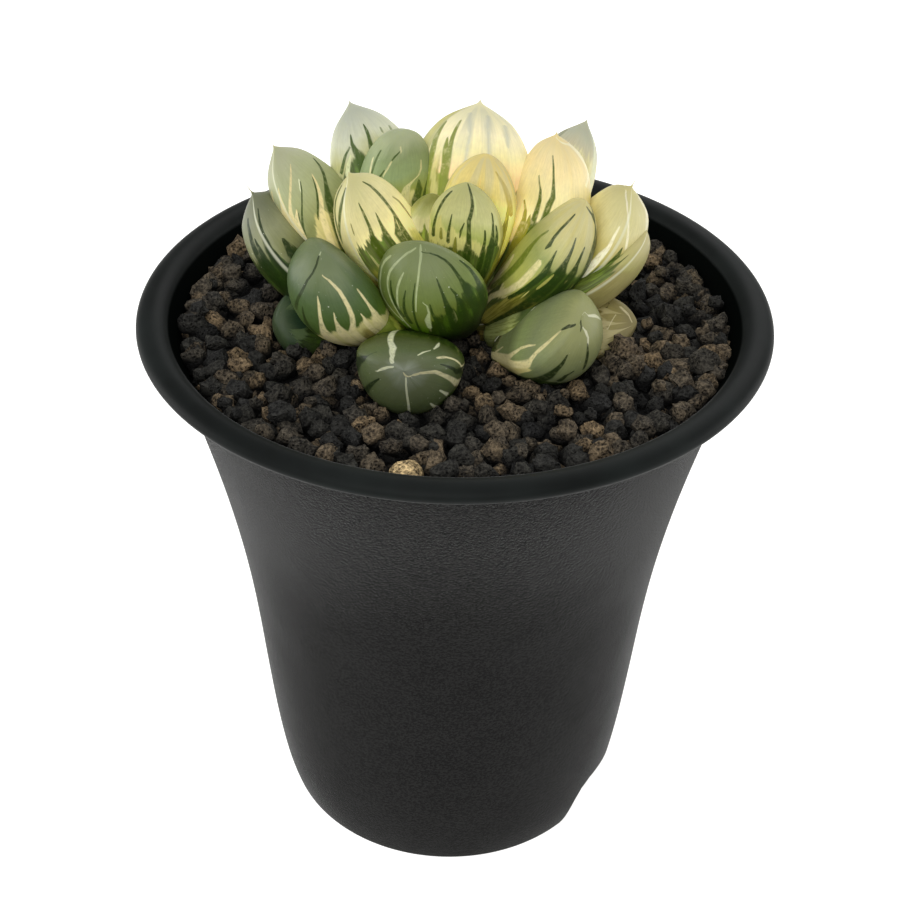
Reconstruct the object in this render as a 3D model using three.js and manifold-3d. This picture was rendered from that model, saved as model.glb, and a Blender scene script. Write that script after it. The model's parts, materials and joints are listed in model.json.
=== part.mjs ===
// A potted haworthia: a plastic grower's pot filled with lava grit, and a rosette of fat leaves on a
// short stem. Millimetres, +Z up, with the origin at the middle of the pot's foot.
import * as THREE from "three";
import { mergeVertices } from "three/addons/utils/BufferGeometryUtils.js";
import Module from "manifold-3d";

const wasm = await Module();
wasm.setup();

// Pot
const potHeight = 72.15;
const rimRadius = 37.5;
const footRadius = 21.35;
const wall = 1.1;
const throat = [[33.2, potHeight - 1.8], [34.2, potHeight - 0.5]];
const lipWidth = 4.0;
const lipHeight = 2.4;
const floorUnderside = 7.2;
const floorThickness = 1.4;
const drainRadius = 4.0;
const slotCount = 6;
const slotRadius = 2.2;
const slotCircle = 12.0;
const notchWidth = 16.6;
const notchHeight = 6.5;
const notchTurns = [-22, 158];
const potSides = 36;
const wallSteps = 8;

// Grit and stem
const gap = 0.3;
const soilLevel = 68.3;
const heap = 0.9;
const bedLevel = 67.2;
const crown = [-1.5, 0];
const stemRadius = 3.0;
const stemFoot = 57.0;
const stemTop = 71.0;
const stoneSpacing = 4.6;
const stoneRadius = 2.6;
const stoneSpread = 0.3;
const hiddenCore = 8;
const stoneSizes = [1, 0.75, 0.55, 0.4];
const scatter = 0.3;

// Leaves
const rootTop = 72.0;
const rootDrop = 3.2;
const flattest = 80;
const leafSides = 10;
const leafRings = 7;
const innerShare = 0.28;
const tipCrowding = 1.25;
const leafFloor = 67.6;

// Each leaf leaves the crown at its root, points to its turn (0 is +X, -90 is the front of the pot),
// and leans so many degrees from upright. Twist turns it about its own length, curl is its sag as a
// share of its length, and point says how slender its tip is. A later leaf gives way to an earlier one.
const leaves = [
  { name: "leaf_front_centre", root: [0.4, -2.2], turn: -130, lean: 27.5, length: 14.8, width: 13.1,
    depth: 8.4, twist: 14, curl: 0.09, point: 0.57, colour: 0x6f8a5e },
  { name: "leaf_left_centre", root: [-0.7, -0.5], turn: 177, lean: 33, length: 21, width: 10.0,
    depth: 7.5, twist: -33, curl: 0.1, point: 0.66, colour: 0xd9cf93 },
  { name: "leaf_heart", root: [-0.1, -1.0], turn: 65, lean: 11, length: 15.5, width: 9.4,
    depth: 5.4, twist: -1, curl: 0.05, point: 0.69, colour: 0xa3ab74 },
  { name: "leaf_right", root: [2.9, -0.2], turn: 2, lean: 38, length: 19, width: 12.1,
    depth: 7.5, twist: -2, curl: 0.04, point: 0.66, colour: 0x9ba873 },
  { name: "leaf_front_left", root: [-7.7, -1.2], turn: -141, lean: 37.5, length: 15.4, width: 14.4,
    depth: 9.1, twist: -9, curl: 0.12, point: 0.61, colour: 0x708670 },
  { name: "leaf_front_right", root: [5.0, -5.2], turn: -35, lean: 55.5, length: 13.6, width: 12.1,
    depth: 8.4, twist: 22, curl: 0.12, point: 0.59, colour: 0x87956d },
  { name: "leaf_front_low", root: [-4.1, -3.8], turn: -95, lean: 70, length: 16.3, width: 12.2,
    depth: 9.3, twist: -3, curl: 0.01, point: 0.6, colour: 0x4c6148 },
  { name: "leaf_back_centre", root: [-4.1, 4.1], turn: 110, lean: 19, length: 19, width: 11.2,
    depth: 6.9, twist: 30, curl: 0.18, point: 0.51, colour: 0x7d976b },
  { name: "leaf_heart_back", root: [0.3, 1.4], turn: 58, lean: 18.5, length: 17.8, width: 9.1,
    depth: 5.8, twist: 14, curl: 0.11, point: 0.6, colour: 0xdcc483 },
  { name: "leaf_back_right", root: [3.8, 2.3], turn: 40, lean: 28, length: 21, width: 12.0,
    depth: 7.9, twist: -12, curl: 0.18, point: 0.6, colour: 0xe0c995 },
  { name: "leaf_back_large", root: [-0.3, 2.5], turn: 77.5, lean: 33, length: 23.4, width: 14.7,
    depth: 8.6, twist: 4, curl: 0.09, point: 0.6, colour: 0xe0d6a2 },
  { name: "leaf_back_left", root: [-2.2, 1.9], turn: 129, lean: 41, length: 25.8, width: 11.4,
    depth: 7.1, twist: -16, curl: 0.08, point: 0.63, colour: 0xb9bfae },
  { name: "leaf_left_upper", root: [-3.6, 1.6], turn: 162.5, lean: 46, length: 25.6, width: 10.9,
    depth: 6.9, twist: -12, curl: 0.08, point: 0.59, colour: 0xa0ab81 },
  { name: "leaf_left_low", root: [-5.5, 1.2], turn: 171.5, lean: 53, length: 22.9, width: 12.3,
    depth: 8.4, twist: -1, curl: 0.15, point: 0.57, colour: 0x84907c },
  { name: "leaf_right_outer", root: [3.9, 2.1], turn: 6, lean: 46.5, length: 22.2, width: 11.5,
    depth: 8.5, twist: 5, curl: 0.19, point: 0.51, colour: 0xcfc992 },
  { name: "leaf_right_under", root: [1.5, 1.1], turn: 2, lean: 61, length: 23.4, width: 10.5,
    depth: 6.8, twist: 3, curl: 0.09, point: 0.54, colour: 0xb9ba92 },
  { name: "leaf_back_right_outer", root: [0.8, 1.7], turn: 43, lean: 47.5, length: 26.5, width: 10.3,
    depth: 6.4, twist: -1, curl: 0.11, point: 0.62, colour: 0xa9b4a6 },
  { name: "leaf_right_old", root: [2.6, 0.3], turn: -10, lean: 82, length: 19, width: 9.6,
    depth: 5.2, twist: 28, curl: 0.08, point: 0.61, colour: 0x9c8a64 },
  { name: "leaf_left_old", root: [-5.9, 1.1], turn: -160.5, lean: 81, length: 16, width: 10.5,
    depth: 6.6, twist: -50, curl: 0.18, point: 0.6, colour: 0x44563f },
  { name: "leaf_right_inner", root: [3.8, -1.9], turn: -18, lean: 60, length: 11.2, width: 10.0,
    depth: 7.0, twist: 0, curl: 0.1, point: 0.6, colour: 0x5f7a2c },
  { name: "leaf_left_inner", root: [-4.4, -3.4], turn: -150, lean: 50, length: 10, width: 8.0,
    depth: 6.0, twist: 0, curl: 0.1, point: 0.6, colour: 0x76802e },
  { name: "leaf_heart_small", root: [-2.2, 2.2], turn: 120, lean: 8, length: 12.6, width: 7.0,
    depth: 4.2, twist: 0, curl: 0.05, point: 0.62, colour: 0xa9b183 },
  { name: "leaf_back_side", root: [5.7, 4.0], turn: 28, lean: 64, length: 14.8, width: 10.0,
    depth: 6.5, twist: 0, curl: 0.1, point: 0.6, colour: 0x90a07c },
  { name: "leaf_back_low", root: [-2.2, 7.2], turn: 95, lean: 66, length: 14.8, width: 12.0,
    depth: 7.5, twist: 0, curl: 0.1, point: 0.6, colour: 0x7c9068 },
  { name: "leaf_back_low_right", root: [2.3, 7.2], turn: 62, lean: 70, length: 15, width: 11.0,
    depth: 7.0, twist: 0, curl: 0.1, point: 0.6, colour: 0x62794f },
  { name: "leaf_back_low_left", root: [-6.8, 6.1], turn: 130, lean: 68, length: 15, width: 11.5,
    depth: 7.0, twist: 0, curl: 0.1, point: 0.6, colour: 0x6a8058 },
];

const radians = THREE.MathUtils.degToRad;

// A seeded draw between 0 and 1, so that the stones fall the same way each time.
let seed = 7;
function draw() {
  seed = (seed * 16807) % 2147483647;
  return seed / 2147483647;
}

// Solids and meshes

function toSolid(geometry) {
  const plain = geometry.clone();
  plain.deleteAttribute("normal");
  plain.deleteAttribute("uv");
  const merged = mergeVertices(plain, 1e-4);
  return new wasm.Manifold(new wasm.Mesh({
    numProp: 3,
    vertProperties: merged.attributes.position.array,
    triVerts: new Uint32Array(merged.index.array),
  }));
}

// The mesh of a solid, with its corners on a hundredth of a millimetre, so that no sliver is left
// between two corners that are nearly one.
function toGeometry(solid) {
  const mesh = solid.getMesh();
  const snapped = mesh.vertProperties.map((value) => Math.round(value * 100) / 100);
  const loose = new THREE.BufferGeometry();
  loose.setAttribute("position", new THREE.BufferAttribute(snapped, 3));
  loose.setIndex(new THREE.BufferAttribute(mesh.triVerts, 1));
  const geometry = mergeVertices(loose, 1e-4);
  const corners = geometry.index.array;
  const kept = [];
  for (let i = 0; i < corners.length; i += 3) {
    const [a, b, c] = corners.slice(i, i + 3);
    if (a !== b && b !== c && c !== a) {
      kept.push(a, b, c);
    }
  }
  geometry.setIndex(kept);
  geometry.computeVertexNormals();
  return geometry;
}

// Where a cut leaves loose scraps or a sealed pocket, only the filled main body stays.
function mainBody(solid) {
  const bodies = solid.decompose();
  return bodies.reduce((largest, body) => (body.volume() > largest.volume() ? body : largest));
}

function piece(name, solid, colour, roughness) {
  const material = new THREE.MeshStandardMaterial({ color: colour, roughness, metalness: 0 });
  const mesh = new THREE.Mesh(toGeometry(mainBody(toSolid(toGeometry(solid)))), material);
  mesh.name = name;
  return mesh;
}

// A body turned about the pot's axis, from points of radius and height.
function turned(points, sides) {
  const profile = points.map(([radius, height]) => new THREE.Vector2(radius, height));
  return new THREE.LatheGeometry(profile, sides).rotateX(Math.PI / 2);
}

function post(radius, bottom, top, x, y, sides) {
  const geometry = new THREE.CylinderGeometry(radius, radius, top - bottom, sides);
  return geometry.rotateX(Math.PI / 2).translate(x, y, (top + bottom) / 2);
}

// Pot

// The wall widens gently from the foot and flares like a trumpet under the lip.
const wallCurve = new THREE.SplineCurve([
  new THREE.Vector2(footRadius, 0),
  new THREE.Vector2(23.4, 10.5),
  new THREE.Vector2(24.45, 21),
  new THREE.Vector2(25.5, 31.5),
  new THREE.Vector2(27.05, 42),
  new THREE.Vector2(29.3, 52.5),
  new THREE.Vector2(31.45, 60.9),
  new THREE.Vector2(33.4, 68.6),
]);
const outerWall = wallCurve.getPoints(wallSteps).map((point) => [point.x, point.y]);

function wallRadiusAt(height) {
  const next = outerWall.findIndex((point) => point[1] >= height);
  const [r0, z0] = outerWall[Math.max(next - 1, 0)];
  const [r1, z1] = outerWall[Math.max(next, 1)];
  return r0 + ((r1 - r0) * (height - z0)) / (z1 - z0);
}

// The points of the space inside the pot, from its floor up, kept clear of the wall by a margin.
function innerWall(margin, top) {
  const floorTop = floorUnderside + floorThickness + margin;
  const points = outerWall.filter(([, height]) => height > floorTop + 1 && height < top - 1);
  return [
    [wallRadiusAt(floorTop) - wall - margin, floorTop],
    ...points.map(([radius, height]) => [radius - wall - margin, height]),
    [wallRadiusAt(top) - wall - margin, top],
  ];
}

function makePot() {
  const lipMiddle = [rimRadius - lipWidth / 2, potHeight - lipHeight / 2];
  const lip = [];
  for (let angle = -150; angle <= 90; angle += 40) {
    lip.push([
      lipMiddle[0] + (lipWidth / 2) * Math.cos(radians(angle)),
      lipMiddle[1] + (lipHeight / 2) * Math.sin(radians(angle)),
    ]);
  }
  const footInside = footRadius - wall;
  const profile = [
    [0, floorUnderside],
    [wallRadiusAt(floorUnderside) - wall, floorUnderside],
    [footInside, 0],
    ...outerWall,
    ...lip,
    ...throat.toReversed(),
    ...innerWall(0, soilLevel).reverse(),
    [0, floorUnderside + floorThickness],
  ];
  let pot = toSolid(turned(profile, potSides));

  // Drain holes go through the raised floor.
  const below = floorUnderside - 1;
  const above = floorUnderside + floorThickness + 1;
  pot = pot.subtract(toSolid(post(drainRadius, below, above, 0, 0, 20)));
  for (let i = 0; i < slotCount; i += 1) {
    const angle = (i * 2 * Math.PI) / slotCount;
    const x = slotCircle * Math.cos(angle);
    const y = slotCircle * Math.sin(angle);
    pot = pot.subtract(toSolid(post(slotRadius, below, above, x, y, 12)));
  }

  // Arched notches in the skirt below the floor let water and air out.
  const half = notchWidth / 2;
  const arch = new THREE.Shape();
  arch.moveTo(-half, -1);
  arch.lineTo(-half, 0);
  arch.quadraticCurveTo(-half * 0.8, notchHeight, -half * 0.4, notchHeight);
  arch.lineTo(half * 0.4, notchHeight);
  arch.quadraticCurveTo(half * 0.8, notchHeight, half, 0);
  arch.lineTo(half, -1);
  for (const turn of notchTurns) {
    const notch = new THREE.ExtrudeGeometry(arch, { depth: 12, bevelEnabled: false, curveSegments: 5 });
    notch.rotateX(Math.PI / 2).rotateZ(radians(turn - 90) + Math.PI);
    const reach = footRadius - 8;
    notch.translate(reach * Math.cos(radians(turn)), reach * Math.sin(radians(turn)), 0);
    pot = pot.subtract(toSolid(notch));
  }
  return pot;
}

// Leaves

function rootHeight(leaf) {
  return rootTop - (rootDrop * Math.min(leaf.lean, flattest)) / flattest;
}

// The half width and half depth of a leaf, as shares of the most, at a share of its length.
function swell(share, atRoot, widest, rise, point) {
  if (share < widest) {
    return atRoot + (1 - atRoot) * Math.sin((Math.PI / 2) * (share / widest)) ** rise;
  }
  return Math.max(1 - ((share - widest) / (1 - widest)) ** 2.1, 0) ** point;
}

// A leaf is a ball drawn out along a curved line from its root to its tip. Its inner face is the
// flatter one, and its outer face is deep like a boat's hull. Grown larger, it is the room that the
// leaf needs about it.
function makeLeaf(leaf, grow, sides, rings) {
  const turn = radians(leaf.turn);
  const lean = radians(leaf.lean);
  const outward = new THREE.Vector3(Math.cos(turn), Math.sin(turn), 0);
  const chord = outward.clone().multiplyScalar(Math.sin(lean)).add(new THREE.Vector3(0, 0, Math.cos(lean)));
  const across = new THREE.Vector3(-Math.sin(turn), Math.cos(turn), 0);
  const inward = new THREE.Vector3().crossVectors(chord, across);
  // The twist is right-handed about the leaf's own length.
  const side = across.clone().applyAxisAngle(chord, radians(leaf.twist));
  inward.applyAxisAngle(chord, radians(leaf.twist));

  const root = new THREE.Vector3(leaf.root[0], leaf.root[1], rootHeight(leaf));
  const tip = root.clone().addScaledVector(chord, leaf.length);
  const middle = root.clone().lerp(tip, 0.5).addScaledVector(inward, -leaf.curl * leaf.length);
  const line = new THREE.QuadraticBezierCurve3(root, middle, tip);

  const ball = new THREE.SphereGeometry(1, sides, rings + 1);
  const place = ball.attributes.position;
  for (let i = 0; i < place.count; i += 1) {
    const ring = Math.floor(i / (sides + 1));
    const angle = (-(i % (sides + 1)) * 2 * Math.PI) / sides;
    const share = 1 - (1 - Math.max(ring - 1, 0) / rings) ** tipCrowding;
    const centre = line.getPoint(share);
    const along = line.getTangent(share);
    const lift = new THREE.Vector3().crossVectors(along, side).normalize();
    const closed = ring === 0 || ring === rings + 1;
    const halfWidth = closed ? 0 : (leaf.width / 2) * swell(share, 0.46, 0.6, 1.3, leaf.point) + grow;
    const face = Math.sin(angle) > 0 ? innerShare : 1 - innerShare;
    const depth = leaf.depth * face * swell(share, 0.45, 0.55, 1.2, leaf.point - 0.05);
    const halfDepth = closed ? 0 : depth + grow;
    centre.addScaledVector(side, halfWidth * Math.cos(angle));
    centre.addScaledVector(lift, halfDepth * Math.sin(angle));
    if (ring === 0) {
      centre.addScaledVector(along, -grow);
    }
    if (ring === rings + 1) {
      centre.addScaledVector(along, grow);
    }
    place.setXYZ(i, centre.x, centre.y, Math.max(centre.z, leafFloor - grow));
  }
  return ball;
}

function makeLeaves(stem) {
  const grown = [];
  return leaves.map((leaf) => {
    let body = toSolid(makeLeaf(leaf, 0, leafSides, leafRings)).subtract(stem);
    for (const neighbour of grown) {
      body = body.subtract(neighbour);
    }
    grown.push(toSolid(makeLeaf(leaf, gap, leafSides, leafRings)));
    return mainBody(body);
  });
}

// Stem

function makeStem(grow) {
  const radius = stemRadius + grow;
  const profile = [
    [0, stemFoot - grow],
    [radius * 0.8, stemFoot - grow],
    [radius, stemFoot + 3],
    [radius, stemTop - 3],
    [radius * 0.75, stemTop - 0.8 + grow],
    [0, stemTop + grow],
  ];
  return turned(profile, 18).translate(crown[0], crown[1], 0);
}

// Grit

// A stone that would touch a leaf is moved away from it and a little down, until it is clear.
function settle(centre, reach, leafPoints) {
  for (let step = 0; step < 12; step += 1) {
    let nearest = leafPoints[0];
    for (const point of leafPoints) {
      if (point.distanceToSquared(centre) < nearest.distanceToSquared(centre)) {
        nearest = point;
      }
    }
    const distance = nearest.distanceTo(centre);
    if (distance >= reach) {
      return true;
    }
    const away = centre.clone().sub(nearest);
    away.z = Math.min(away.z, 0) - 0.3;
    centre.addScaledVector(away.normalize(), reach - distance + 0.05);
  }
  return false;
}

// A stone is a rough ball of twenty faces, turned and stretched at random.
function makeStone(size, stretch, spin) {
  const stone = new THREE.IcosahedronGeometry(size, 0).rotateX(spin[0]).rotateY(spin[1]);
  return stone.scale(stretch[0], stretch[1], stretch[2]).rotateZ(spin[2]);
}

// Stones lie on a loose grid all over the bed, heaped a little along the wall.
function makeGrit() {
  let grit = toSolid(turned([
    [0, floorUnderside + floorThickness + gap],
    ...innerWall(gap, bedLevel),
    [0, bedLevel],
  ], potSides));

  const leafPoints = [];
  for (const leaf of leaves) {
    const place = makeLeaf(leaf, 0, 20, 18).attributes.position;
    for (let i = 0; i < place.count; i += 1) {
      leafPoints.push(new THREE.Vector3().fromBufferAttribute(place, i));
    }
  }
  const edge = wallRadiusAt(soilLevel) - wall - gap;
  const rows = Math.ceil(rimRadius / stoneSpacing);
  const stones = [];
  for (let row = -rows; row <= rows; row += 1) {
    for (let column = -rows; column <= rows; column += 1) {
      const spot = new THREE.Vector2(
        (column + (row % 2) / 2 + scatter * (draw() - 0.5)) * stoneSpacing,
        (row * Math.sqrt(0.75) + scatter * (draw() - 0.5)) * stoneSpacing,
      );
      const size = stoneRadius * (1 + stoneSpread * (draw() - 0.5) * 2);
      const lift = 0.7 * (draw() - 0.5) + heap * (spot.length() / edge) ** 4;
      const stretch = [0.85 + 0.3 * draw(), 0.85 + 0.3 * draw(), 0.75 + 0.25 * draw()];
      const spin = [draw() * 6, draw() * 6, draw() * 6];
      if (spot.length() > edge || Math.hypot(spot.x - crown[0], spot.y - crown[1]) < hiddenCore) {
        continue;
      }
      spot.clampLength(0, edge - size * 0.6);
      for (const share of stoneSizes) {
        const radius = size * share;
        const centre = new THREE.Vector3(spot.x, spot.y, soilLevel - radius * 0.5 + lift);
        if (settle(centre, radius + gap + 0.25, leafPoints) && centre.z + radius * 0.5 > bedLevel) {
          const stone = makeStone(radius, stretch, spin);
          stones.push(toSolid(stone.translate(centre.x, centre.y, centre.z)));
          break;
        }
      }
    }
  }
  for (const stone of stones) {
    grit = grit.add(stone);
  }
  const room = toSolid(turned([
    [0, floorUnderside + floorThickness + gap],
    ...innerWall(gap, soilLevel),
    ...throat.map(([radius, height]) => [radius - gap, height]),
    [0, potHeight],
  ], potSides));
  const hole = toSolid(post(stemRadius + gap, stemFoot - gap, potHeight, crown[0], crown[1], 18));
  return mainBody(grit.intersect(room).subtract(hole));
}

const group = new THREE.Group();
group.add(piece("pot", makePot(), 0x1b1b1d, 0.6));
group.add(piece("grit", makeGrit(), 0x2f2924, 0.95));
group.add(piece("stem", toSolid(makeStem(0)), 0x6b6038, 0.8));
const leafBodies = makeLeaves(toSolid(makeStem(gap)));
leaves.forEach((leaf, i) => group.add(piece(leaf.name, leafBodies[i], leaf.colour, 0.4)));

export default group;
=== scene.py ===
# %% [markdown]
# # A potted haworthia
# A small black grower's pot stands on a white floor. It is filled with dark lava grit, and a rosette of
# fat, variegated leaves sits on the grit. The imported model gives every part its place; this script
# replaces each plain solid with a finer piece and gives it its colours.

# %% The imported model
import json
import math
import random
from collections import namedtuple

import bpy
import numpy as np
from mathutils import Matrix, Vector
from mathutils.bvhtree import BVHTree
from mathutils.interpolate import poly_3d_calc


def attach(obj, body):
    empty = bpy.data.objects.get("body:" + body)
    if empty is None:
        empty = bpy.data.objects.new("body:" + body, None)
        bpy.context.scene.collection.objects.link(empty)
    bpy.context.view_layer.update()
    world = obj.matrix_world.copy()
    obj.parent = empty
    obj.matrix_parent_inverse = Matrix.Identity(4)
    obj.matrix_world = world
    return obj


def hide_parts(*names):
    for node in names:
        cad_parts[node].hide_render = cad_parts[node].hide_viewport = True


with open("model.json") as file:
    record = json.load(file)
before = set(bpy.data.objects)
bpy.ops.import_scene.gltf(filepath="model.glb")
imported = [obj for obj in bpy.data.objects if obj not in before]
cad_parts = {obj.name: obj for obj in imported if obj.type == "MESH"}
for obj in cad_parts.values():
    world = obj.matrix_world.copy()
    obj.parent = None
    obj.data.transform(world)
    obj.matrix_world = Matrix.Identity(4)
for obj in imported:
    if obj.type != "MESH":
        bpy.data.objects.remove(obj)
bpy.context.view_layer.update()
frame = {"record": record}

MM = 0.001

# %% [markdown]
# ## Camera
# The photograph looks down on the pot from about 31 degrees, through a short telephoto lens. The place
# and the turn of the camera were worked out from the pot's rim, foot and height. Its axes are built
# here from three angles, so that each of them can be changed on its own.

# %% The camera
RIM_HEIGHT = 72.15
SENSOR_WIDTH = 36
NEAREST_SEEN = 0.01
SHOT = {"distance": 221.11, "elevation": 31.209, "pitch": 35.768, "yaw": -0.103, "roll": 0.987, "lens": 74.9}


def aim_camera(shot):
    """A camera in front of the middle of the rim and above it."""
    elevation, pitch, yaw, roll = (math.radians(shot[key]) for key in ("elevation", "pitch", "yaw", "roll"))
    forward, upward = shot["distance"] * math.cos(elevation), shot["distance"] * math.sin(elevation)
    place = Vector((0, -forward, RIM_HEIGHT + upward))
    ahead = Vector((math.sin(yaw) * math.cos(pitch), math.cos(yaw) * math.cos(pitch), -math.sin(pitch)))
    level = ahead.cross(Vector((0, 0, 1))).normalized()
    above = level.cross(ahead)
    right = math.cos(roll) * level + math.sin(roll) * above
    up = math.cos(roll) * above - math.sin(roll) * level
    turn = Matrix((right, up, -ahead)).transposed()
    camera = bpy.data.objects.new("camera", bpy.data.cameras.new("camera"))
    bpy.context.scene.collection.objects.link(camera)
    camera.matrix_world = Matrix.Translation(place * MM) @ turn.to_4x4()
    camera.data.lens = shot["lens"]
    camera.data.sensor_width = SENSOR_WIDTH
    camera.data.clip_start = NEAREST_SEEN
    return camera


camera = aim_camera(SHOT)
bpy.context.scene.camera = camera
print("the camera stands at", camera.location)

# %% [markdown]
# ## Writing shader maths
# A material is a net of small nodes. Wired by hand in code it is hard to read, so a socket is wrapped in
# a class that understands sums: `height - v` adds a Subtract node and hands back its output.

# %% A socket that can be added and multiplied
class Value:
    def __init__(self, finish, socket):
        self.finish = finish
        self.socket = socket

    def math(self, operation, *others):
        return self.finish.node("ShaderNodeMath", {"operation": operation}, [self, *others])

    def __add__(self, other):
        return self.math("ADD", other)

    def __radd__(self, other):
        return self.math("ADD", other)

    def __sub__(self, other):
        return self.math("SUBTRACT", other)

    def __rsub__(self, other):
        return self.finish.node("ShaderNodeMath", {"operation": "SUBTRACT"}, [other, self])

    def __mul__(self, other):
        return self.math("MULTIPLY", other)

    def __rmul__(self, other):
        return self.math("MULTIPLY", other)

    def __truediv__(self, other):
        return self.math("DIVIDE", other)

    def __pow__(self, other):
        return self.math("POWER", other)

    def within(self, low, high):
        """0 below low, 1 above high and a smooth step between them."""
        settings = {"interpolation_type": "SMOOTHSTEP"}
        return self.finish.node("ShaderNodeMapRange", settings, [self, low, high, 0.0, 1.0])


# %% [markdown]
# Any other node comes from one method. It sets the node's own choices first, such as a ramp's stops,
# and then the values or the links of its sockets.

# %% A material under construction
def tint(code):
    """A colour written as on a paint chart, #rrggbb, as the light that it sends back."""
    parts = [int(code[i:i + 2], 16) / 255 for i in (1, 3, 5)]
    return [c / 12.92 if c <= 0.04045 else ((c + 0.055) / 1.055) ** 2.4 for c in parts] + [1.0]


class Finish:
    def __init__(self, name):
        self.material = bpy.data.materials.new(name)
        self.material.use_nodes = True
        self.nodes = self.material.node_tree.nodes
        self.links = self.material.node_tree.links
        self.nodes.clear()

    def node(self, kind, settings=None, sockets=(), output=0):
        node = self.nodes.new(kind)
        for key, setting in (settings or {}).items():
            if key == "stops":
                self.set_stops(node.color_ramp, setting)
            else:
                setattr(node, key, setting)
        pairs = sockets.items() if isinstance(sockets, dict) else enumerate(sockets)
        for key, value in pairs:
            if isinstance(value, Value):
                self.links.new(value.socket, node.inputs[key])
            else:
                node.inputs[key].default_value = value
        return Value(self, node.outputs[output]) if node.outputs else None

    def set_stops(self, ramp, stops):
        while len(ramp.elements) > 1:
            ramp.elements.remove(ramp.elements[-1])
        for i, (place, shade) in enumerate(stops):
            stop = ramp.elements[0] if i == 0 else ramp.elements.new(place)
            stop.position = place
            parts = [shade] * 3 if isinstance(shade, (int, float)) else shade
            stop.color = tint(shade) if isinstance(shade, str) else [*parts, 1.0]

    def place(self):
        return self.node("ShaderNodeTexCoord", output=3)

    def parts(self, vector):
        split = self.node("ShaderNodeSeparateXYZ", None, [vector])
        return [Value(self, socket) for socket in split.socket.node.outputs]

    def vector(self, x, y, z=0.0):
        return self.node("ShaderNodeCombineXYZ", None, [x, y, z])

    def noise(self, vector, scale, detail=2.0, roughness=0.5):
        sockets = {"Vector": vector, "Scale": scale, "Detail": detail, "Roughness": roughness}
        return self.node("ShaderNodeTexNoise", None, sockets)

    def pits(self, vector, scale):
        return self.node("ShaderNodeTexVoronoi", None, {"Vector": vector, "Scale": scale})

    def ramp(self, factor, stops):
        return self.node("ShaderNodeValToRGB", {"stops": stops}, [factor])

    def mix(self, under, over, share, blend="MIX"):
        settings = {"data_type": "RGBA", "blend_type": blend}
        return self.node("ShaderNodeMix", settings, {0: share, 6: under, 7: over}, output=2)

    def bump(self, height, distance, strength=1.0):
        sockets = {"Strength": strength, "Distance": distance, "Height": height}
        return self.node("ShaderNodeBump", None, sockets)

    def surface(self, sockets, second=None, share=0.0):
        shader = self.node("ShaderNodeBsdfPrincipled", None, sockets)
        if second:
            other = self.node("ShaderNodeBsdfPrincipled", None, second)
            shader = self.node("ShaderNodeMixShader", None, [share, shader, other])
        self.node("ShaderNodeOutputMaterial", None, [shader])
        return self.material


print("shader helpers are ready")

# %% [markdown]
# ## Studio
# The photograph is a cut-out on pure white, lit softly from all round. A plain white floor and a white
# sky give that. Two wide lamps, in front and above, add the gentle gloss on the leaves and the lip, and
# three more keep the back and the sides of the black pot from sinking into the dark.

# %% Sky, lamps and floor
SKY_LIGHT = 0.36
LAMPS_AIM = Vector((0, 0, 0.06))
Lamp = namedtuple("Lamp", "name place size power")
LAMPS = [
    Lamp("lamp_front", (-0.10, -0.42, 0.44), 0.50, 2.1),
    Lamp("lamp_above", (-0.05, 0.02, 0.65), 0.45, 0.7),
    Lamp("lamp_back", (0.15, 0.45, 0.40), 0.40, 0.9),
    Lamp("lamp_left", (-0.55, 0.12, 0.16), 0.40, 1.6),
    Lamp("lamp_right", (0.55, 0.12, 0.16), 0.40, 1.45),
]
FLOOR_SIZE = 6
FLOOR_GLOW = 1.45


def light_studio():
    world = bpy.data.worlds.new("studio")
    world.use_nodes = True
    sky = world.node_tree.nodes["Background"].inputs
    sky["Color"].default_value = (1, 1, 1, 1)
    sky["Strength"].default_value = SKY_LIGHT
    bpy.context.scene.world = world
    bpy.context.scene.view_settings.view_transform = "Standard"
    for name, place, size, power in LAMPS:
        lamp = bpy.data.objects.new(name, bpy.data.lights.new(name, "AREA"))
        lamp.data.size = size
        lamp.data.energy = power
        lamp.location = place
        lamp.rotation_euler = (LAMPS_AIM - Vector(place)).to_track_quat("-Z", "Y").to_euler()
        bpy.context.scene.collection.objects.link(lamp)


def lay_floor():
    bpy.ops.object.select_all(action="DESELECT")
    bpy.ops.mesh.primitive_plane_add(size=FLOOR_SIZE, location=(0, 0, 0))
    floor = bpy.context.object
    floor.name = "floor"
    paint = Finish("floor_white")
    cloud = paint.noise(paint.place(), 3.0)
    shade = paint.ramp(cloud, [(0.3, "#c6c6c4"), (0.7, "#c9c9c8")])
    floor.data.materials.append(paint.surface({
        "Base Color": shade, "Roughness": 0.9, "Emission Color": shade, "Emission Strength": FLOOR_GLOW,
    }))


light_studio()
lay_floor()
print("the studio has", len(LAMPS), "lamps")

# %% [markdown]
# ## Drawing a shape ring by ring
# Both the pot and the leaves are drawn as a potter pulls clay: a flat ring is extruded, moved on and
# made wider or narrower, over and over. One helper does one such step in edit mode. A ring may also
# lean, for a leaf that sags; it is set upright, resized and leaned again. With no window open, Blender
# turns the other way, so the angle's sign is changed.

# %% One step of the ring
Ring = namedtuple("Ring", "half_width half_depth y z lean")


def start_shape(name, sides, ring):
    bpy.ops.object.select_all(action="DESELECT")
    bpy.ops.mesh.primitive_circle_add(vertices=sides, radius=1, fill_type="NGON")
    shape = bpy.context.object
    shape.name = name
    shape.data.name = name
    bpy.ops.object.mode_set(mode="EDIT")
    bpy.ops.mesh.select_all(action="SELECT")
    bpy.ops.transform.resize(value=(ring.half_width, ring.half_depth, 1), center_override=(0, 0, 0))
    bpy.ops.transform.translate(value=(0, ring.y, ring.z))
    lean_ring(ring, ring.lean)
    return shape


def lean_ring(ring, angle):
    if angle:
        bpy.ops.transform.rotate(value=-angle, orient_axis="X", center_override=(0, ring.y, ring.z))


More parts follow.
